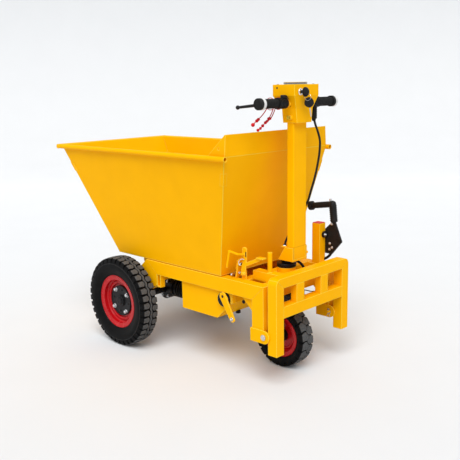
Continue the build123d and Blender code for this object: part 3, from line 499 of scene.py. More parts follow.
def wave(u):
    """Triangle wave with rounded corners, period 1, from -1 to 1."""
    t = np.abs(((u + 0.25) % 1.0) - 0.5) * 4 - 1
    return np.sin(t * math.pi / 2)


def away(u):
    """Distance from the nearest slot, in pitches."""
    return np.abs(((u + 0.5) % 1.0) - 0.5)


def front_tread(u, v, mm):
    """Depth share of the tread cuts: a narrow wavy rib between two wavy grooves and round-nosed blocks."""
    u = u + 0.5 * (v < 0)
    rib = v - 0.060 * wave(u + 0.75) * np.where(v < 0, -1, 1)
    rib_edge = 0.10
    nose = 0.200 + 0.24 * smooth_step(0.42 - away(u), 0.0, 0.42)
    outward = np.abs(v)
    groove = smooth_step(np.abs(rib) * mm, rib_edge * mm, rib_edge * mm + 1.3)
    groove = groove * (1 - smooth_step(outward * mm, nose * mm - 0.5, nose * mm + 0.8))
    width = 0.085 + 0.045 * smooth_step(outward, 0.45, 1.1)
    slot = (1 - smooth_step(away(u), width, width + 0.045)) * smooth_step(outward, 0.24, 0.30)
    return np.maximum(groove, slot)


def rear_tread(u, v, mm):
    """Depth share for the rear tyre: a zigzag middle groove between big five-sided blocks."""
    outward = np.abs(v)
    cut = 1 - smooth_step(np.abs(v - 0.20 * wave(u + 0.75)) * mm, 1.2, 2.2)
    u = u + 0.5 * (v < 0)
    bend = 0.10 * np.sin(np.clip(outward, 0, 1) * math.pi)
    width = 0.050 + 0.040 * smooth_step(outward, 0.55, 1.1)
    slot = 1 - smooth_step(away(u + bend), width, width + 0.030)
    return np.maximum(cut, slot * smooth_step(outward, 0.16, 0.22))


def tyre(name, centre, radius, half, rim, tread_half, lug, count, pattern, per_pitch, body, node, look):
    """Tyre as a ring of stations: bead, side wall, buttress, tread and back. Slots start at +X."""
    rim_r, rim_half, seat_r = rim
    wall = [
        (rim_half - 0.006, seat_r),
        (rim_half - 0.003, rim_r - 0.001),
        (rim_half + 0.0015, rim_r + 0.002),
        (rim_half + 0.0042, rim_r + 0.0055),
        (rim_half + 0.0046, rim_r + 0.009),
        (rim_half + 0.0062, rim_r + 0.0125),
    ]
    span_r = radius - rim_r
    for share, out in ((0.24, 0.90), (0.33, 0.955), (0.42, 0.99), (0.50, 1.0), (0.58, 0.997), (0.64, 0.992)):
        wall.append((half * out, rim_r + share * span_r))
    wall += [
        (half * 0.999, rim_r + 0.655 * span_r),
        (half * 0.999, rim_r + 0.680 * span_r),
        (half * 0.972, rim_r + 0.690 * span_r),
        (half * 0.966, rim_r + 0.73 * span_r),
        (half * 0.955, rim_r + 0.78 * span_r),
        (half * 0.935, rim_r + 0.83 * span_r),
        (half * 0.908, rim_r + 0.88 * span_r),
        (half * 0.875, rim_r + 0.925 * span_r),
    ]
    crown = []
    columns = 44
    for k in range(columns + 1):
        v = 1 - 2 * k / columns
        y = v * tread_half * 1.03
        drop = 0.0022 * v**2 + 0.006 * max(0, abs(v) - 0.9) ** 1.2 / 0.1**0.2
        crown.append((y, radius - drop))
    profile = wall + crown + [(-y, r) for y, r in reversed(wall)]
    ys = np.array([p[0] for p in profile])
    rs = np.array([p[1] for p in profile])
    stations = count * per_pitch
    angles = 2 * math.pi * (np.arange(stations) + 0.5) / stations
    u = (np.arange(stations) + 0.5) / per_pitch
    v = ys / tread_half
    grid_u, grid_v = np.meshgrid(u, v, indexing="ij")
    depth = pattern(grid_u, grid_v, tread_half * 1000)
    reach = 1 - smooth_step(radius - rs, lug * 2.0, lug * 3.0)
    rr = rs[None, :] - depth * reach[None, :] * lug
    sink = depth * (1 - smooth_step(radius - rs, lug * 0.6, lug * 2.9))[None, :] * lug * 0.30
    ticks = 0.0010 * smooth_step(np.cos(grid_u * 2 * math.pi * 3), 0.2, 0.6)
    band = np.exp(-(((rs - (rim_r + 0.668 * span_r)) / 0.0030) ** 2))
    yy = ys[None, :] - np.sign(ys)[None, :] * (ticks * band[None, :] + sink * (np.abs(grid_v) > 1))
    xx = rr * np.cos(angles)[:, None]
    zz = rr * np.sin(angles)[:, None]
    verts = np.stack([centre[0] + xx, centre[1] + yy, centre[2] + zz], axis=-1).reshape(-1, 3)
    n = len(profile)
    i = np.arange(stations)[:, None]
    k = np.arange(n)[None, :]
    j = (i + 1) % stations
    m = (k + 1) % n
    faces = np.stack([i * n + k, j * n + k, j * n + m, i * n + m], axis=-1).reshape(-1, 4)
    obj = add(name, verts, faces, look, body, True, "tyre_rubber")
    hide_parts(node)


FRONT_RIM = (0.124, 0.033, 0.106)
REAR_RIM = (0.091, 0.027, 0.077)
for word, side in (("left", 1), ("right", -1)):
    tyre(f"front_{word}_tread_tyre", (AXLE, side * WHEEL_Y, WHEEL_R), WHEEL_R, 0.0460, FRONT_RIM, 0.036,
         0.0085, 38, front_tread, 20, f"front_{word}_wheel_body", f"front_{word}_tyre", FRONT_TREAD)
tyre("rear_tread_tyre", (REAR_X, 0, REAR_R), REAR_R, 0.0388, REAR_RIM, 0.032, 0.0075, 20, rear_tread, 30,
     "rear_wheel_body", "rear_tyre", REAR_TREAD)

# Wheels

# Turned profiles, as radius and distance along the axle
HUB_CAP = [(0.0195, 0), (0.0195, 0.0022), (0.0165, 0.0045), (0.0090, 0.0045), (0.0075, 0.0030), (0, 0.0030)]
HUB_EDGE = [(0.0705, -0.001), (0.0705, 0.0018), (0.0665, 0.0018), (0.0665, -0.001)]
HUB_STUD = [(0.0060, 0), (0.0060, 0.0018), (0.0045, 0.0032), (0, 0.0036)]
FRONT_DISH = [(0.0800, -0.001), (0.0805, 0.0075), (0.0835, 0.0105), (0.0905, 0.0108), (0.0950, 0.0080),
              (0.0985, -0.001)]
REAR_DISH = [(0.0520, -0.001), (0.0525, 0.0050), (0.0550, 0.0070), (0.0600, 0.0070), (0.0630, 0.0050),
             (0.0650, -0.001)]
REAR_SLEEVE = [(0.0255, 0), (0.0272, 0.0010), (0.0272, 0.0330), (0.0255, 0.0345)]
BOLT_CIRCLE = 0.0585
STUD_CIRCLE = 0.052

for word, side in (("left", 1), ("right", -1)):
    body = f"front_{word}_wheel_body"
    face = side * (WHEEL_Y + WEB_OUT + HUB_PLATE)
    hub = (AXLE, face, WHEEL_R)
    parts = []
    for degrees in (54, 144, 234, 324):
        angle = math.radians(degrees)
        at_bolt = (AXLE + BOLT_CIRCLE * math.cos(angle), face, WHEEL_R + BOLT_CIRCLE * math.sin(angle))
        parts.append(bolt(at_bolt, (0, side, 0), 0.014, 0.008, 0.0105))
    add(f"front_{word}_wheel_bolts", *merge(parts), ZINC, body, True, "steel")
    tip = face + side * 0.008
    bumps = [
        lathe(HUB_CAP, (AXLE, tip, WHEEL_R), (0, side, 0), 36),
        ring(HUB_EDGE, hub, (0, side, 0), 64),
    ]
    for degrees in (9, 99, 189, 279):
        angle = math.radians(degrees)
        spot = (AXLE + STUD_CIRCLE * math.cos(angle), face, WHEEL_R + STUD_CIRCLE * math.sin(angle))
        bumps.append(lathe(HUB_STUD, spot, (0, side, 0), 18))
    add(f"front_{word}_hub_bumps", *merge(bumps), BLACK_PAINT, body, True, "black_metal")
    # Thin rings on the side walls, in paler rubber as a painted highlight along the moulded ring's edge
    lines = []
    for way in (1, -1):
        wall = (AXLE, side * WHEEL_Y + way * 0.0455, WHEEL_R)
        lines.append(torus(wall, (0, 1, 0), 0.1797, 0.0008, 160, 8))
    add(f"front_{word}_wall_rings", *merge(lines), WALL_RING_HIGHLIGHT, body, True, "tyre_rubber")
    web = (AXLE, side * (WHEEL_Y + WEB_OUT), WHEEL_R)
    rings = [
        torus((AXLE, side * (WHEEL_Y + 0.0323), WHEEL_R), (0, 1, 0), 0.1215, 0.0022, 96, 10),
        ring(FRONT_DISH, web, (0, side, 0), 96),
    ]
    add(f"front_{word}_rim_bead", *merge(rings), RED, body, True, "red_paint")

rings, sleeves = [], []
for side in (1, -1):
    rings.append(torus((REAR_X, side * 0.0263, REAR_R), (0, 1, 0), 0.0888, 0.0019, 80, 10))
    rings.append(ring(REAR_DISH, (REAR_X, side * 0.0025, REAR_R), (0, side, 0), 80))
    sleeves.append(ring(REAR_SLEEVE, (REAR_X, side * 0.0030, REAR_R), (0, side, 0), 40))
add("rear_rim_rings", *merge(rings), RED, "rear_wheel_body", True, "red_paint")
add("rear_hub_sleeves", *merge(sleeves), BLACK_PAINT, "rear_wheel_body", True, "black_metal")
parts = []
for side in (1, -1):
    parts.append(bolt((REAR_X, side * 0.052, REAR_R), (0, side, 0), 0.022, 0.009, 0.017))
add("rear_axle_nuts", *merge(parts), ZINC, "steering", True, "steel")

# Control head

HEAD_REAR = 843
HEAD_FRONT = 0.735
HEAD_TOP = 1.177
GAUGE_LEAD = 0.052
GAUGE_HEIGHT = 0.009
gauge_x = AXLE - HEAD_FRONT - GAUGE_LEAD
top = HEAD_TOP + GAUGE_HEIGHT
add("gauge_ring", *ring([(0.0462, -0.0088), (0.0462, -0.0012), (0.0450, -0.0002), (0.0415, -0.0002),
                         (0.0400, -0.0016), (0.0400, -0.0088)], (gauge_x, 0, top), (0, 0, 1), 64),
    DARK_CHROME, "steering", True, "steel")
add("gauge_face", *lathe([(0.0, -0.004), (0.0398, -0.004), (0.0398, -0.0006), (0.0, -0.0006)],
                         (gauge_x, 0, top), (0, 0, 1), 48), DIAL, "steering", True, "black_plastic")
MARK_INNER = 0.031
MARK_OUTER = 0.037
NEEDLE_ANGLE = 2.4
marks = []
for i in range(9):
    angle = math.radians(-120 + 30 * i)
    way = Vector((math.cos(angle), math.sin(angle), 0))
    across = Vector((-way.y, way.x, 0)) * 0.0007
    base = Vector((gauge_x, 0, top - 0.0008))
    inner, outer = base + way * MARK_INNER, base + way * MARK_OUTER
    marks.append(prism([inner - across, outer - across, outer + across, inner + across], (0, 0, 0.0004)))
marks.append(lathe([(0.0, 0.0), (0.0045, 0.0), (0.0045, 0.0005), (0.0, 0.0005)], (gauge_x, 0, top - 0.0007),
                   (0, 0, 1), 24))
way = Vector((math.cos(NEEDLE_ANGLE), math.sin(NEEDLE_ANGLE), 0))
across = Vector((-way.y, way.x, 0)) * 0.001
base = Vector((gauge_x, 0, top - 0.0007))
marks.append(prism([base - across, base + way * 0.028, base + across], (0, 0, 0.0005)))
add("gauge_marks", *merge(marks), DARK_DIAL, "steering", False, "black_plastic")


# Outline of a key's grip: degrees, and the share of its half size there
KEY_OUTLINE = (
    (90, 1.0), (60, 0.98), (35, 0.96), (10, 1.0), (-15, 0.98), (-40, 0.84), (-65, 0.78), (-90, 0.8),
    (-115, 0.78), (-140, 0.84), (-165, 0.98), (170, 1.0), (145, 0.96), (120, 0.98),
)


def key_head(centre, u, v, n, width, height, thick):
    """Rounded triangular key grip in the plane of u and v, thick along n."""
    points = []
    for degrees, share in KEY_OUTLINE:
        t = math.radians(degrees)
        points.append(centre + u * (math.cos(t) * share * width / 2) + v * (math.sin(t) * share * height / 2))
    rings = []
    for share, lift in ((0.86, -0.5), (1.0, -0.32), (1.0, 0.32), (0.86, 0.5)):
        rings.append([centre + (p - centre) * share + n * (lift * thick) for p in points])
    verts = [p for r in rings for p in r]
    m = len(points)
    faces = []
    for k in range(3):
        for i in range(m):
            j = (i + 1) % m
            faces.append((k * m + i, k * m + j, (k + 1) * m + j, (k + 1) * m + i))
    faces.append(tuple(reversed(range(m))))
    faces.append(tuple(range(3 * m, 4 * m)))
    return verts, faces


key_at = at(HEAD_REAR, 42, 1149)
BARREL = [(0.0135, 0), (0.0135, 0.0035), (0.012, 0.005), (0.0105, 0.005), (0.0105, 0.009), (0.004, 0.009)]
barrel = lathe(BARREL, key_at, (-1, 0, 0), 32)
add("key_barrel", *barrel, CHROME, "steering", True, "steel")
grip_at = key_at + Vector((-0.0255, 0, -0.001))
key_one = key_head(grip_at, Vector((0, 0, 1)), Vector((-1, 0, 0)), Vector((0, 1, 0)), 0.037, 0.035, 0.010)
key_stub = brick(key_at + Vector((-0.0125, -0.0025, -0.005)), key_at + Vector((-0.0085, 0.0025, 0.005)))
key = add("ignition_key_grip", *merge([key_one, key_stub]), PLASTIC, "steering", True, "black_plastic")
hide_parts("ignition_key")
spare_at = at(861, 8, 1106)
out = Vector((-0.80, 0.60, 0.0)).normalized()
flat = Vector((0.58, 0.80, -0.15)).normalized()
drop = out.cross(flat).normalized()
drop = drop if drop.z < 0 else -drop
spare = key_head(spare_at, flat, -drop, out, 0.038, 0.046, 0.009)
add("spare_key_grip", *spare, PLASTIC, "steering", True, "black_plastic")
blade_top = spare_at + drop * 0.0200
blade_end = spare_at + drop * 0.0520
half = flat * 0.0028
blade = prism([blade_top - half, blade_top + half, blade_end + half * 0.8, blade_end + drop * 0.003,
               blade_end - half * 0.5], out * 0.0018)
add("spare_key_blade", *blade, STEEL, "steering", False, "steel")
hang = (grip_at + Vector((-0.008, 0, -0.012)) + spare_at - drop * 0.014) / 2
ring_axis = Vector((-0.3, 0.9, 0.1)).normalized()
add("key_ring", *torus(hang, ring_axis, 0.0125, 0.0007, 40, 8), CHROME, "steering", True, "steel")

parts = []
for side in (1, -1):
    parts.append(rod(at(757, side * 75, 1164), at(757, side * 75.9, 1164), 0.0035, 16))
for x, y in ((828, 60), (828, -60), (748, 60), (748, -60)):
    parts.append(rod(at(x, y, 1177), at(x, y, 1178.3), 0.0042, 18, 0.0005))
add("head_screws", *merge(parts), BLACK_PAINT, "steering", True, "black_metal")


NECK_HALF = 0.0455
BOSS_END = [(0.0095, 0), (0.0092, 0.004), (0.0065, 0.0075), (0, 0.008)]


def boss(side):
    """Oblong pressed boss low on the neck: two round ends and a block between them."""
    parts = []
    for ahead in (-0.008, 0.008):
        start = Vector((AXLE - 0.796 + ahead, side * NECK_HALF, 1.0505))
        parts.append(lathe(BOSS_END, start, (0, side, 0), 24))
    start = Vector((AXLE - 0.804, side * NECK_HALF, 1.041))
    corners = []
    for out, low, high in ((0, 0, 0.019), (side * 0.0075, 0.003, 0.016)):
        for z in (low, high):
            for x in (0, 0.016):
                corners.append(start + Vector((x, out, z)))
    parts.append(hull(corners))
    return merge(parts)


add("neck_bosses", *merge([boss(1), boss(-1)]), YELLOW, "steering", True, "yellow_paint")

# Handlebar

bar_at = at(799, 0, 1107)
# Turned profiles, as radius and distance along the bar
BAR_SOCKET = [(0.0155, 0), (0.0155, 0.010), (0.0142, 0.012), (0.0118, 0.012)]
LEFT_RING = [(0.0215, 0), (0.0226, 0.0008), (0.0226, 0.0132), (0.0215, 0.0140)]
RIGHT_RING = [(0.0215, 0), (0.0226, 0.0008), (0.0226, 0.0108), (0.0216, 0.0126), (0.0150, 0.0126),
              (0.0150, 0.0100)]
END_RING = [(0.0115, -0.002), (0.0115, 0.0006), (0.0085, 0.0006), (0.0085, -0.002)]
BOOT_RIB = [(0.0105, -0.0030), (0.0135, -0.0012), (0.0135, 0.0012), (0.0105, 0.0030)]
BOOT_TIP = [(0.0047, -0.010), (0.0072, -0.008), (0.0088, 0.001)]
GROMMET = [(0.0047, 0.0055), (0.0075, 0.0048), (0.0085, 0.0015), (0.0085, 0)]
RIB_PITCH = 0.0062
parts = []
for side in (1, -1):
    start = bar_at + Vector((0, side * 0.052, 0))
    parts.append(lathe(BAR_SOCKET, start, (0, side, 0), 32))
add("handlebar_sockets", *merge(parts), YELLOW, "steering", True, "yellow_paint")
ribs, ends = [], []
rings = [
    ring(LEFT_RING, bar_at + Vector((0, 0.2090, 0)), (0, 1, 0), 48),
    ring(RIGHT_RING, bar_at + Vector((0, -0.2260, 0)), (0, -1, 0), 48),
]
for side in (1, -1):
    for i in range(11):
        here = bar_at + Vector((0, side * (0.134 + RIB_PITCH * i), 0))
        ribs.append(torus(here, (0, 1, 0), 0.0174, 0.0011, 40, 8))
    cap = bar_at + Vector((0, side * 0.2372, 0))
    ends.append(ring(END_RING, cap, (0, side, 0), 32))
add("grip_rings", *merge(rings), WHITE, "steering", True, "black_rubber")
add("grip_ribs", *merge(ribs + ends), RUBBER, "steering", True, "black_rubber")
switch = merge([
    brick(at(813, 84, 1124), at(793, 102, 1138), 0.003),
    rod(at(803, 82, 1131), at(803, 74, 1131), 0.0055, 20, 0.001),
    brick(at(812, -102, 1124), at(792, -86, 1134), 0.003),
])
add("bar_switches", *switch, PLASTIC, "steering", False, "black_plastic")
lead = [at(803, 74, 1131), at(808, 70, 1126), at(814, 62, 1113), at(812, 56, 1099), at(802, 52, 1091),
        at(790, 48, 1088)]
add("switch_lead", *tube(lead, 0.0022, 10, 6), RUBBER, "steering", True, "black_rubber")
boots = []
for i in range(6):
    here = at(799, -104, 1046 + 7.5 * i)
    boots.append(lathe(BOOT_RIB, here, (0, 0, 1), 28))
boots.append(lathe(BOOT_TIP, at(799, -104.2, 1040), (0, 0.02, 1), 24))
add("cable_boot_ribs", *merge(boots), RUBBER, "steering", True, "black_rubber")
grommet = lathe(GROMMET, at(795.6, -41.5, 675.5), (0, -1, 0), 28)
add("cable_grommet", *grommet, RUBBER, "steering", True, "black_rubber")

# Red ties hang from two bands round the left housing and grip: points of each, as at() takes them
TIES = (
    ((768, 149, 1088), (769, 172, 1068), (770, 200, 1050), (770, 214, 1043), (770, 231, 1031)),
    ((768, 111, 1088), (770, 124, 1070), (770, 141, 1050), (770, 160, 1036), (770, 186, 1018),
     (770, 203, 1010)),
    ((771, 103, 1088), (773, 116, 1070), (773, 133, 1050), (772, 150, 1041), (772, 158, 1036)),
)
# The beads on each tie: y, z and radius in millimetres
BEADS = (
    ((200, 1050, 6.0), (209, 1045, 6.5), (231, 1031, 7.5)),
    ((141, 1050, 6.0), (160, 1036, 6.0), (176, 1025, 6.0), (189, 1016, 5.5), (203, 1010, 6.0)),
    ((133, 1050, 5.5), (150, 1041, 5.5)),
)
parts = []
for line, beads in zip(TIES, BEADS):
    parts.append(tube([at(*p) for p in line], 0.0019, 8, 5))
    for y, z, r in beads:
        parts.append(ball(at(770, y, z), r / 1000, 8, 14))
for y in (106, 152):
    parts.append(torus(at(788, y, 1106), (0, 1, 0), 0.0225, 0.0013, 40, 8))
add("red_ties", *merge(parts), RED_TIE, "steering", True, "red_paint")

# Column and shoe

parts = [
    brick(at(776, 26, 529), at(752, 47, 533), 0.0012),
    rod(at(812, -46, 500), at(812, -47.2, 500), 0.006, 20),
]
add("shoe_tab", *merge(parts), YELLOW, "steering", False, "yellow_paint")
clip = merge([
    tube([at(764, 38, 533), at(765, 37, 545), at(770, 33, 562), at(774, 25, 578)], 0.0042, 12, 6),
    rod(at(764, 38, 533), at(764, 38, 541), 0.0062, 20, 0.001),
])
add("shoe_cable", *clip, PLASTIC, "steering", True, "black_plastic")
nut = hexagon(at(764, 38, 533), at(764, 38, 537), 0.015)
add("shoe_cable_nut", *nut, ZINC, "steering", False, "steel")
weld = brick(at(812.3, -41.8, 531), at(777.6, 41.8, 532.4))
add("column_weld", *weld, SEAM, "steering", False, "yellow_paint")

# Latch on the left rail

catch = [
    prism([at(640, 165, 412), at(640, 205, 412), at(654, 200, 491), at(654, 172, 491)], (-0.006, 0, 0)),
    prism([at(612, 168, 438), at(646, 168, 425), at(652, 168, 470), at(622, 168, 474)], (0, 0.005, 0)),
]
add("latch_catch", *merge(catch), YELLOW, "chassis", False, "yellow_paint")
parts = [
    bolt(at(656, 193, 469), (-1, 0, 0), 0.013, 0.006, 0.0085),
    bolt(at(649, 187, 430), (-1, 0, 0), 0.011, 0.005, 0.008),
    rod(at(627, 150, 424), at(627, 214, 424), 0.005, 20, 0.001),
]
add("latch_bolts", *merge(parts), ZINC, "chassis", True, "steel")
socket = rod(at(664.6, 193, 469), at(665.8, 193, 469), 0.0046, 20, 0.0004)
add("latch_bolt_socket", *socket, BLACK_PAINT, "chassis", True, "black_metal")
pivot_bolt = bolt(at(690, 203, 436), (0, 1, 0), 0.012, 0.005, 0.009)
add("latch_pivot_bolt", *pivot_bolt, YELLOW, "chassis", True, "yellow_paint")
spring = [at(694, 206, 497), at(684, 209, 498), at(674, 211, 492), at(668, 211, 482), at(670, 209, 472),
          at(676, 207, 470)]
add("latch_spring", *tube(spring, 0.0023, 10, 8), CHROME, "chassis", True, "steel")
# A thin black sheet on the plate stands for the slot: its dark opening is painted shade
slot = prism([at(702, 203.2, 507), at(697, 203.2, 507), at(697, 203.2, 528), at(702, 203.2, 528)],
             (0, 0.0004, 0))
add("latch_slot_shade", *slot, BLACK_PAINT, "chassis", False, "black_metal")

# Parking brake

# The brake's plate stands in this plane and is 8 mm thick
BRAKE_Y = -240
PLATE_HALF = 4
parts = []
for behind, z in ((799, 585), (790, 499), (802, 482), (789, 473)):
    parts.append(bolt(at(behind, BRAKE_Y + PLATE_HALF + 0.1, z), (0, 1, 0), 0.008, 0.003, 0.006))
parts.append(bolt(at(774.6, -222, 538), (-1, 0, 0), 0.011, 0.005, 0.008))
parts.append(rod(at(790, BRAKE_Y, 684), at(788, BRAKE_Y, 694), 0.006, 20, 0.0015))
add("brake_bolts", *merge(parts), ZINC, "chassis", True, "steel")
ribs = []
low, high = at(808.5, BRAKE_Y, 595), at(800, BRAKE_Y, 672)
grip_end = at(694, BRAKE_Y, 655)
for i in range(8):
    t = 0.10 + 0.115 * i
    ribs.append(torus(low.lerp(high, t), high - low, 0.0146, 0.0026, 36, 8))
for i in range(9):
    t = 0.22 + 0.07 * i
    ribs.append(torus(high.lerp(grip_end, t), (1, 0, -0.16), 0.0127, 0.0012, 36, 8))
add("brake_sleeve_ribs", *merge(ribs), RUBBER, "chassis", True, "black_plastic")
cable = [at(796, -240, 460), at(790, -240, 448), at(776, -238, 434), at(758, -232, 424), at(742, -226, 418),
         at(730, -216, 412)]
add("brake_cable", *tube(cable, 0.0062, 12, 8), RUBBER, "chassis", True, "black_rubber")
wire = [at(632, -70, 322), at(668, -92, 318), at(705, -115, 309), at(735, -145, 297), at(742, -185, 285),
        at(750, -216, 290), at(757, -232, 330), at(758, -233, 380), at(758, -232, 424)]
add("brake_wire", *tube(wire, 0.0021, 10, 8), RUBBER, "chassis", True, "black_rubber")
hose = [at(724, -34, 420), at(722, -53, 437), at(736, -69, 444), at(753, -78, 436), at(766, -84, 418),
        at(770, -87, 394)]
add("head_hose", *tube(hose, 0.0055, 14, 8), RUBBER, "chassis", True, "black_rubber")

# Posts and frame fittings

add("post_cap", *brick(at(765.2, -234.2, 588), at(726.8, -195.8, 590.8), 0.0012), RED_CAP, "chassis", False,
    "red_paint")
KNOB_RADIUS = 0.0303
KNOB_RIBS = 16
KNOB = [(KNOB_RADIUS, 0.0003), (KNOB_RADIUS, 0.0130), (0.0288, 0.0147), (0, 0.0147)]
BOX_FOOT = [(0.011, -0.001), (0.011, 0.007), (0.009, 0.009), (0, 0.009)]
BRACE_PLUG = [(0.0075, -0.001), (0.0075, 0.0015), (0.0060, 0.0025), (0.0040, 0.0025), (0.0040, 0.0005),
              (0, 0.0005)]
knob = [
    lathe(KNOB, at(600, 224, 318), (0, 1, 0), 48),
    lathe([(0.0062, 0), (0.0062, 0.0003), (0, 0.0003)], at(605, 244.5, 334), (0, 1, 0), 24),
]
for i in range(KNOB_RIBS):
    angle = math.radians(360 / KNOB_RIBS * i)
    way = Vector((math.cos(angle), 0, math.sin(angle))) * KNOB_RADIUS
    knob.append(rod(at(600, 225, 318) + way, at(600, 237, 318) + way, 0.0016, 8, 0.0004))
add("box_knob", *merge(knob), PLASTIC, "chassis", True, "black_plastic")
crank_bolt = bolt(at(655, 244.5, 247), (0, 1, 0), 0.011, 0.005, 0.0085)
add("crank_bolt", *crank_bolt, ZINC, "chassis", True, "steel")
foot = lathe(BOX_FOOT, at(555, 100, 226), (0, 0, -1), 28)
add("box_foot", *foot, RUBBER, "chassis", True, "black_rubber")
plug = lathe(BRACE_PLUG, at(704, 224, 327), (0, 1, 0), 24)
add("brace_plug", *plug, RUBBER, "chassis", True, "black_rubber")
# The footboard's pivot pins
PIVOT = 826
PIVOT_Z = 211
PIN_HEAD = [(0.0118, 0), (0.0118, 0.0048), (0.0100, 0.0062), (0, 0.0062)]
PIN_WASHER = [(0.0100, 0), (0.0100, 0.0015), (0.0062, 0.0015)]
pins, cotters = [], []
for side in (1, -1):
    pins.append(lathe(PIN_HEAD, at(PIVOT, side * 244, PIVOT_Z), (0, side, 0), 32))
    pins.append(lathe(PIN_WASHER, at(PIVOT, side * 187, PIVOT_Z), (0, -side, 0), 28))
    hole = at(PIVOT, side * 181, PIVOT_Z)
    for turn in (-0.0022, 0.0022):
        legs = ((0, 0.009), (turn, 0), (turn * 2, -0.012), (turn * 4, -0.021))
        cotters.append(tube([hole + Vector((x, 0, z)) for x, z in legs], 0.0011, 8, 4))
    cotters.append(torus(hole + Vector((0, 0, 0.0115)), (0, 1, 0), 0.0034, 0.0011, 20, 8))
add("pivot_pin_heads", *merge(pins), ZINC, "chassis", True, "steel")
add("cotter_pins", *merge(cotters), ZINC, "chassis", True, "steel")

# Mitre and weld seams, as thin raised beads


def bead_line(start, end, width=0.0011):
    """Straight weld bead."""
    return tube([start, end], width / 2, 6, 1)


seams = []
for side in (1, -1):
    y = side * 0.2381
    seams.append(bead_line(at(820, 0, 411) + Vector((0, y, 0)), at(760, 0, 351) + Vector((0, y, 0))))
    seams.append(bead_line(at(118, 0, 411) + Vector((0, y, 0)), at(185, 0, 351) + Vector((0, y, 0))))
add("frame_seams", *merge(seams), SEAM, "chassis", True, "yellow_paint")
seams = []
for side in (1, -1):
    for behind in (886.75, 843.25):
        seams.append(bead_line(at(behind, side * 230.5, 444), at(behind, side * 193.5, 411)))
add("footboard_seams", *merge(seams), SEAM, "footboard", True, "yellow_paint")

# Tub trim


# The tub in millimetres. Each wall has its place at the floor, and how far it leans out up to the rim
TUB_FLOOR_Z = 414
TUB_DEPTH = 499
SIDE_WALL = (234, 87)
FRONT_WALL = (86, 300)
REAR_WALL = (587, 117)


def wall_at(wall, z):
    """Distance of a leaning wall from the middle or from the front axle, at a height."""
    low, lean = wall
    return low + (z - TUB_FLOOR_Z) / TUB_DEPTH * lean


def corner_patch(low, high, front, side, reach=17, thick=2.0, sunk=0.2):
    """Bent plate over an upright edge of the tub, sunk a little into both walls."""
    rows = []
    for z in (low, high):
        x = wall_at(FRONT_WALL, z) if front else -wall_at(REAR_WALL, z)
        y = wall_at(SIDE_WALL, z)
        step = -1 if front else 1
        rows.append([
            (x + step * reach, y + thick, z),
            (x - step * thick, y + thick, z),
            (x - step * thick, y - reach, z),
            (x + step * sunk, y - reach, z),
            (x + step * sunk, y - sunk, z),
            (x + step * reach, y - sunk, z),
        ])
    verts = [Vector((AXLE + px / 1000, side * py / 1000, pz / 1000)) for row in rows for px, py, pz in row]
    n = 6
    faces = [(i, (i + 1) % n, n + (i + 1) % n, n + i) for i in range(n)]
    faces += [(0, 1, 4, 5), (1, 2, 3, 4), (6, 11, 10, 7), (7, 10, 9, 8)]
    return verts, faces


parts = []
for side in (1, -1):
    parts.append(corner_patch(800, 849, False, side))
    parts.append(corner_patch(790, 831, True, side))
add("tub_corner_patches", *merge(parts), YELLOW, "tub", False, "yellow_paint")
seams = []
for side in (1, -1):
    seams.append(bead_line(at(-84, side * 231.5, 417.5), at(-379, side * 316.5, 910), 0.0016))
    seams.append(bead_line(at(582, side * 231.5, 417.5), at(699.5, side * 316.5, 910), 0.0016))
seams.append(bead_line(at(582.5, -229, 417.6), at(582.5, 229, 417.6), 0.0016))
seams.append(bead_line(at(-81.5, -229, 417.6), at(-81.5, 229, 417.6), 0.0016))
add("tub_weld_beads", *merge(seams), YELLOW, "tub", True, "yellow_paint")

# Drive and cables below

# The photo doesn't show these leads, whose route is guessed
cables = [
    tube([at(228, 40, 208), at(238, 70, 215), at(262, 96, 250), at(330, 110, 300), at(358, 112, 310)],
         0.0050, 10, 8),
    tube([at(226, -30, 222), at(246, -60, 240), at(300, -90, 280), at(357, -96, 296)], 0.0050, 10, 8),
    tube([at(10, 262, 240), at(40, 200, 262), at(90, 188, 300), at(180, 186, 340), at(356, 170, 343)],
         0.0035, 10, 8),
]
add("drive_cables", *merge(cables), RUBBER, "chassis", True, "black_rubber")
COVER_CIRCLE = 0.043
parts = []
for i in range(6):
    angle = math.radians(60 * i)
    x, z = AXLE + COVER_CIRCLE * math.cos(angle), WHEEL_R + COVER_CIRCLE * math.sin(angle)
    for side in (1, -1):
        where = (x, side * 0.034, z)
        parts.append(bolt(where, (0, side, 0), 0.010, 0.005, 0.0075))
for behind, y in ((-18, 205), (12, 226)):
    for side in (1, -1):
        parts.append(bolt(at(behind, side * y, 262), (0, 0, -1), 0.010, 0.004, 0.008))
add("drive_bolts", *merge(parts), ZINC, "chassis", True, "steel")

# Stage

BACKDROP_BEND = 2.5


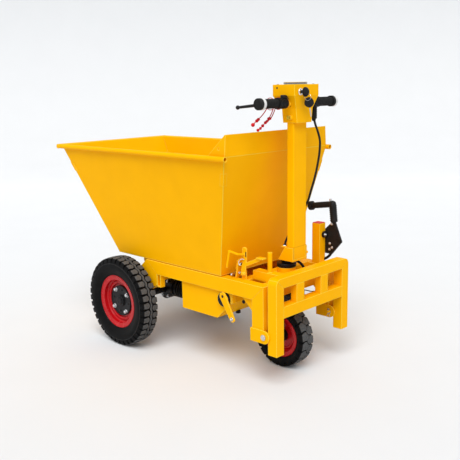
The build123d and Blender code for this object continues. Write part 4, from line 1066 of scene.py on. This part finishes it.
def floor_material():
    """Plain pale floor, a little darker up the backdrop."""
    mat, tree, base = shader("floor_look")
    where = coords(tree)
    split = tree.nodes.new("ShaderNodeSeparateXYZ")
    tree.links.new(where, split.inputs["Vector"])
    height = tree.nodes.new("ShaderNodeMath")
    height.operation = "MULTIPLY"
    height.inputs[1].default_value = 1 / BACKDROP_BEND
    tree.links.new(split.outputs["Z"], height.inputs[0])
    rise = tree.nodes.new("ShaderNodeValToRGB")
    stops = rise.color_ramp.elements
    for place, grey in ((0.004, 0.965), (0.015, 0.932), (0.06, 0.892), (0.18, 0.87), (0.5, 0.88)):
        stops.new(place).color = (grey, grey, grey, 1)
    stops[0].color = (1, 1, 1, 1)
    stops[-1].color = (0.92, 0.92, 0.92, 1)
    tree.links.new(height.outputs["Value"], rise.inputs["Fac"])
    tone = ramp(tree, noise(tree, where, 3.0), (0.758, 0.770, 0.782), (0.768, 0.780, 0.792))
    shade = vector_math(tree, "MULTIPLY", tone, rise.outputs["Color"])
    tree.links.new(shade.outputs["Vector"], base.inputs["Base Color"])
    base.inputs["Roughness"].default_value = 0.9
    base.inputs["Specular IOR Level"].default_value = 0.0
    return mat


# The fitted camera's turns
YAW = math.radians(-45.94)
PITCH = math.radians(11.695)
ROLL = math.radians(-1.0)


def floor_mesh():
    """Flat floor that curves up into a backdrop far beyond the object."""
    ahead = Vector((math.cos(YAW), math.sin(YAW), 0))
    across = Vector((-ahead.y, ahead.x, 0))
    run, bend, top, half_width, steps = 5.5, BACKDROP_BEND, 9.0, 30.0, 16
    rows = [(-half_width, 0.0), (0.0, 0.0), (run, 0.0)]
    for k in range(1, steps + 1):
        angle = math.pi / 2 * k / steps
        rows.append((run + bend * math.sin(angle), bend * (1 - math.cos(angle))))
    rows.append((run + bend, top))
    verts, faces = [], []
    for far, z in rows:
        for wide in (-half_width, 0.0, half_width):
            verts.append(ahead * far + across * wide + Vector((0, 0, z)))
    for k in range(len(rows) - 1):
        for m in range(2):
            faces.append((3 * k + m, 3 * k + m + 1, 3 * k + m + 4, 3 * k + m + 3))
    return verts, faces


mesh = bpy.data.meshes.new("floor")
floor_verts, floor_faces = floor_mesh()
mesh.from_pydata(floor_verts, [], floor_faces)
mesh.polygons.foreach_set("use_smooth", [True] * len(mesh.polygons))
mesh.materials.append(floor_material())
floor = bpy.data.objects.new("floor", mesh)
bpy.context.scene.collection.objects.link(floor)

SUN_WAY = Vector((0.36, -0.48, -0.80))
light = bpy.data.lights.new("soft_sun", "SUN")
light.energy = 2.64
light.angle = math.radians(42)
sun = bpy.data.objects.new("soft_sun", light)
sun.rotation_euler = SUN_WAY.to_track_quat("-Z", "Y").to_euler()
bpy.context.scene.collection.objects.link(sun)
# The world lights the object at half strength, and the camera and the reflections see it near white
world = bpy.data.worlds.new("world")
world.use_nodes = True
world_tree = world.node_tree
ambient = world_tree.nodes["Background"]
ambient.inputs["Color"].default_value = (1, 1, 1, 1)
ambient.inputs["Strength"].default_value = 0.5
backdrop = world_tree.nodes.new("ShaderNodeBackground")
backdrop.inputs["Color"].default_value = (0.955, 0.96, 0.965, 1)
backdrop.inputs["Strength"].default_value = 1.0
path = world_tree.nodes.new("ShaderNodeLightPath")
seen = world_tree.nodes.new("ShaderNodeMath")
seen.operation = "MAXIMUM"
seen.use_clamp = True
world_tree.links.new(path.outputs["Is Camera Ray"], seen.inputs[0])
mirrored = world_tree.nodes.new("ShaderNodeMath")
mirrored.operation = "MAXIMUM"
world_tree.links.new(path.outputs["Is Glossy Ray"], mirrored.inputs[0])
world_tree.links.new(path.outputs["Is Transmission Ray"], mirrored.inputs[1])
world_tree.links.new(mirrored.outputs["Value"], seen.inputs[1])
choose = world_tree.nodes.new("ShaderNodeMixShader")
world_tree.links.new(seen.outputs["Value"], choose.inputs["Fac"])
world_tree.links.new(ambient.outputs["Background"], choose.inputs[1])
world_tree.links.new(backdrop.outputs["Background"], choose.inputs[2])
world_tree.links.new(choose.outputs["Shader"], world_tree.nodes["World Output"].inputs["Surface"])
bpy.context.scene.world = world

# Camera at the place it was fitted to

FOCAL_PIXELS = 698.35
PHOTO_PIXELS = 460
SENSOR_MM = 36
CAMERA_AT = Vector((AXLE - 2.5331, 2.1858, 1.1769))
look = Vector((math.cos(YAW) * math.cos(PITCH), math.sin(YAW) * math.cos(PITCH), -math.sin(PITCH)))
right = look.cross(Vector((0, 0, 1))).normalized()
up = right.cross(look)
right_r = right * math.cos(ROLL) + up * math.sin(ROLL)
up_r = -right * math.sin(ROLL) + up * math.cos(ROLL)
data = bpy.data.cameras.new("camera")
data.sensor_width = SENSOR_MM
data.lens = FOCAL_PIXELS / PHOTO_PIXELS * SENSOR_MM
data.clip_end = 100
camera = bpy.data.objects.new("camera", data)
turn = Matrix((right_r, up_r, -look)).transposed().to_4x4()
camera.matrix_world = Matrix.Translation(CAMERA_AT) @ turn
bpy.context.scene.collection.objects.link(camera)
bpy.context.scene.camera = camera
bpy.context.scene.view_settings.view_transform = "Standard"
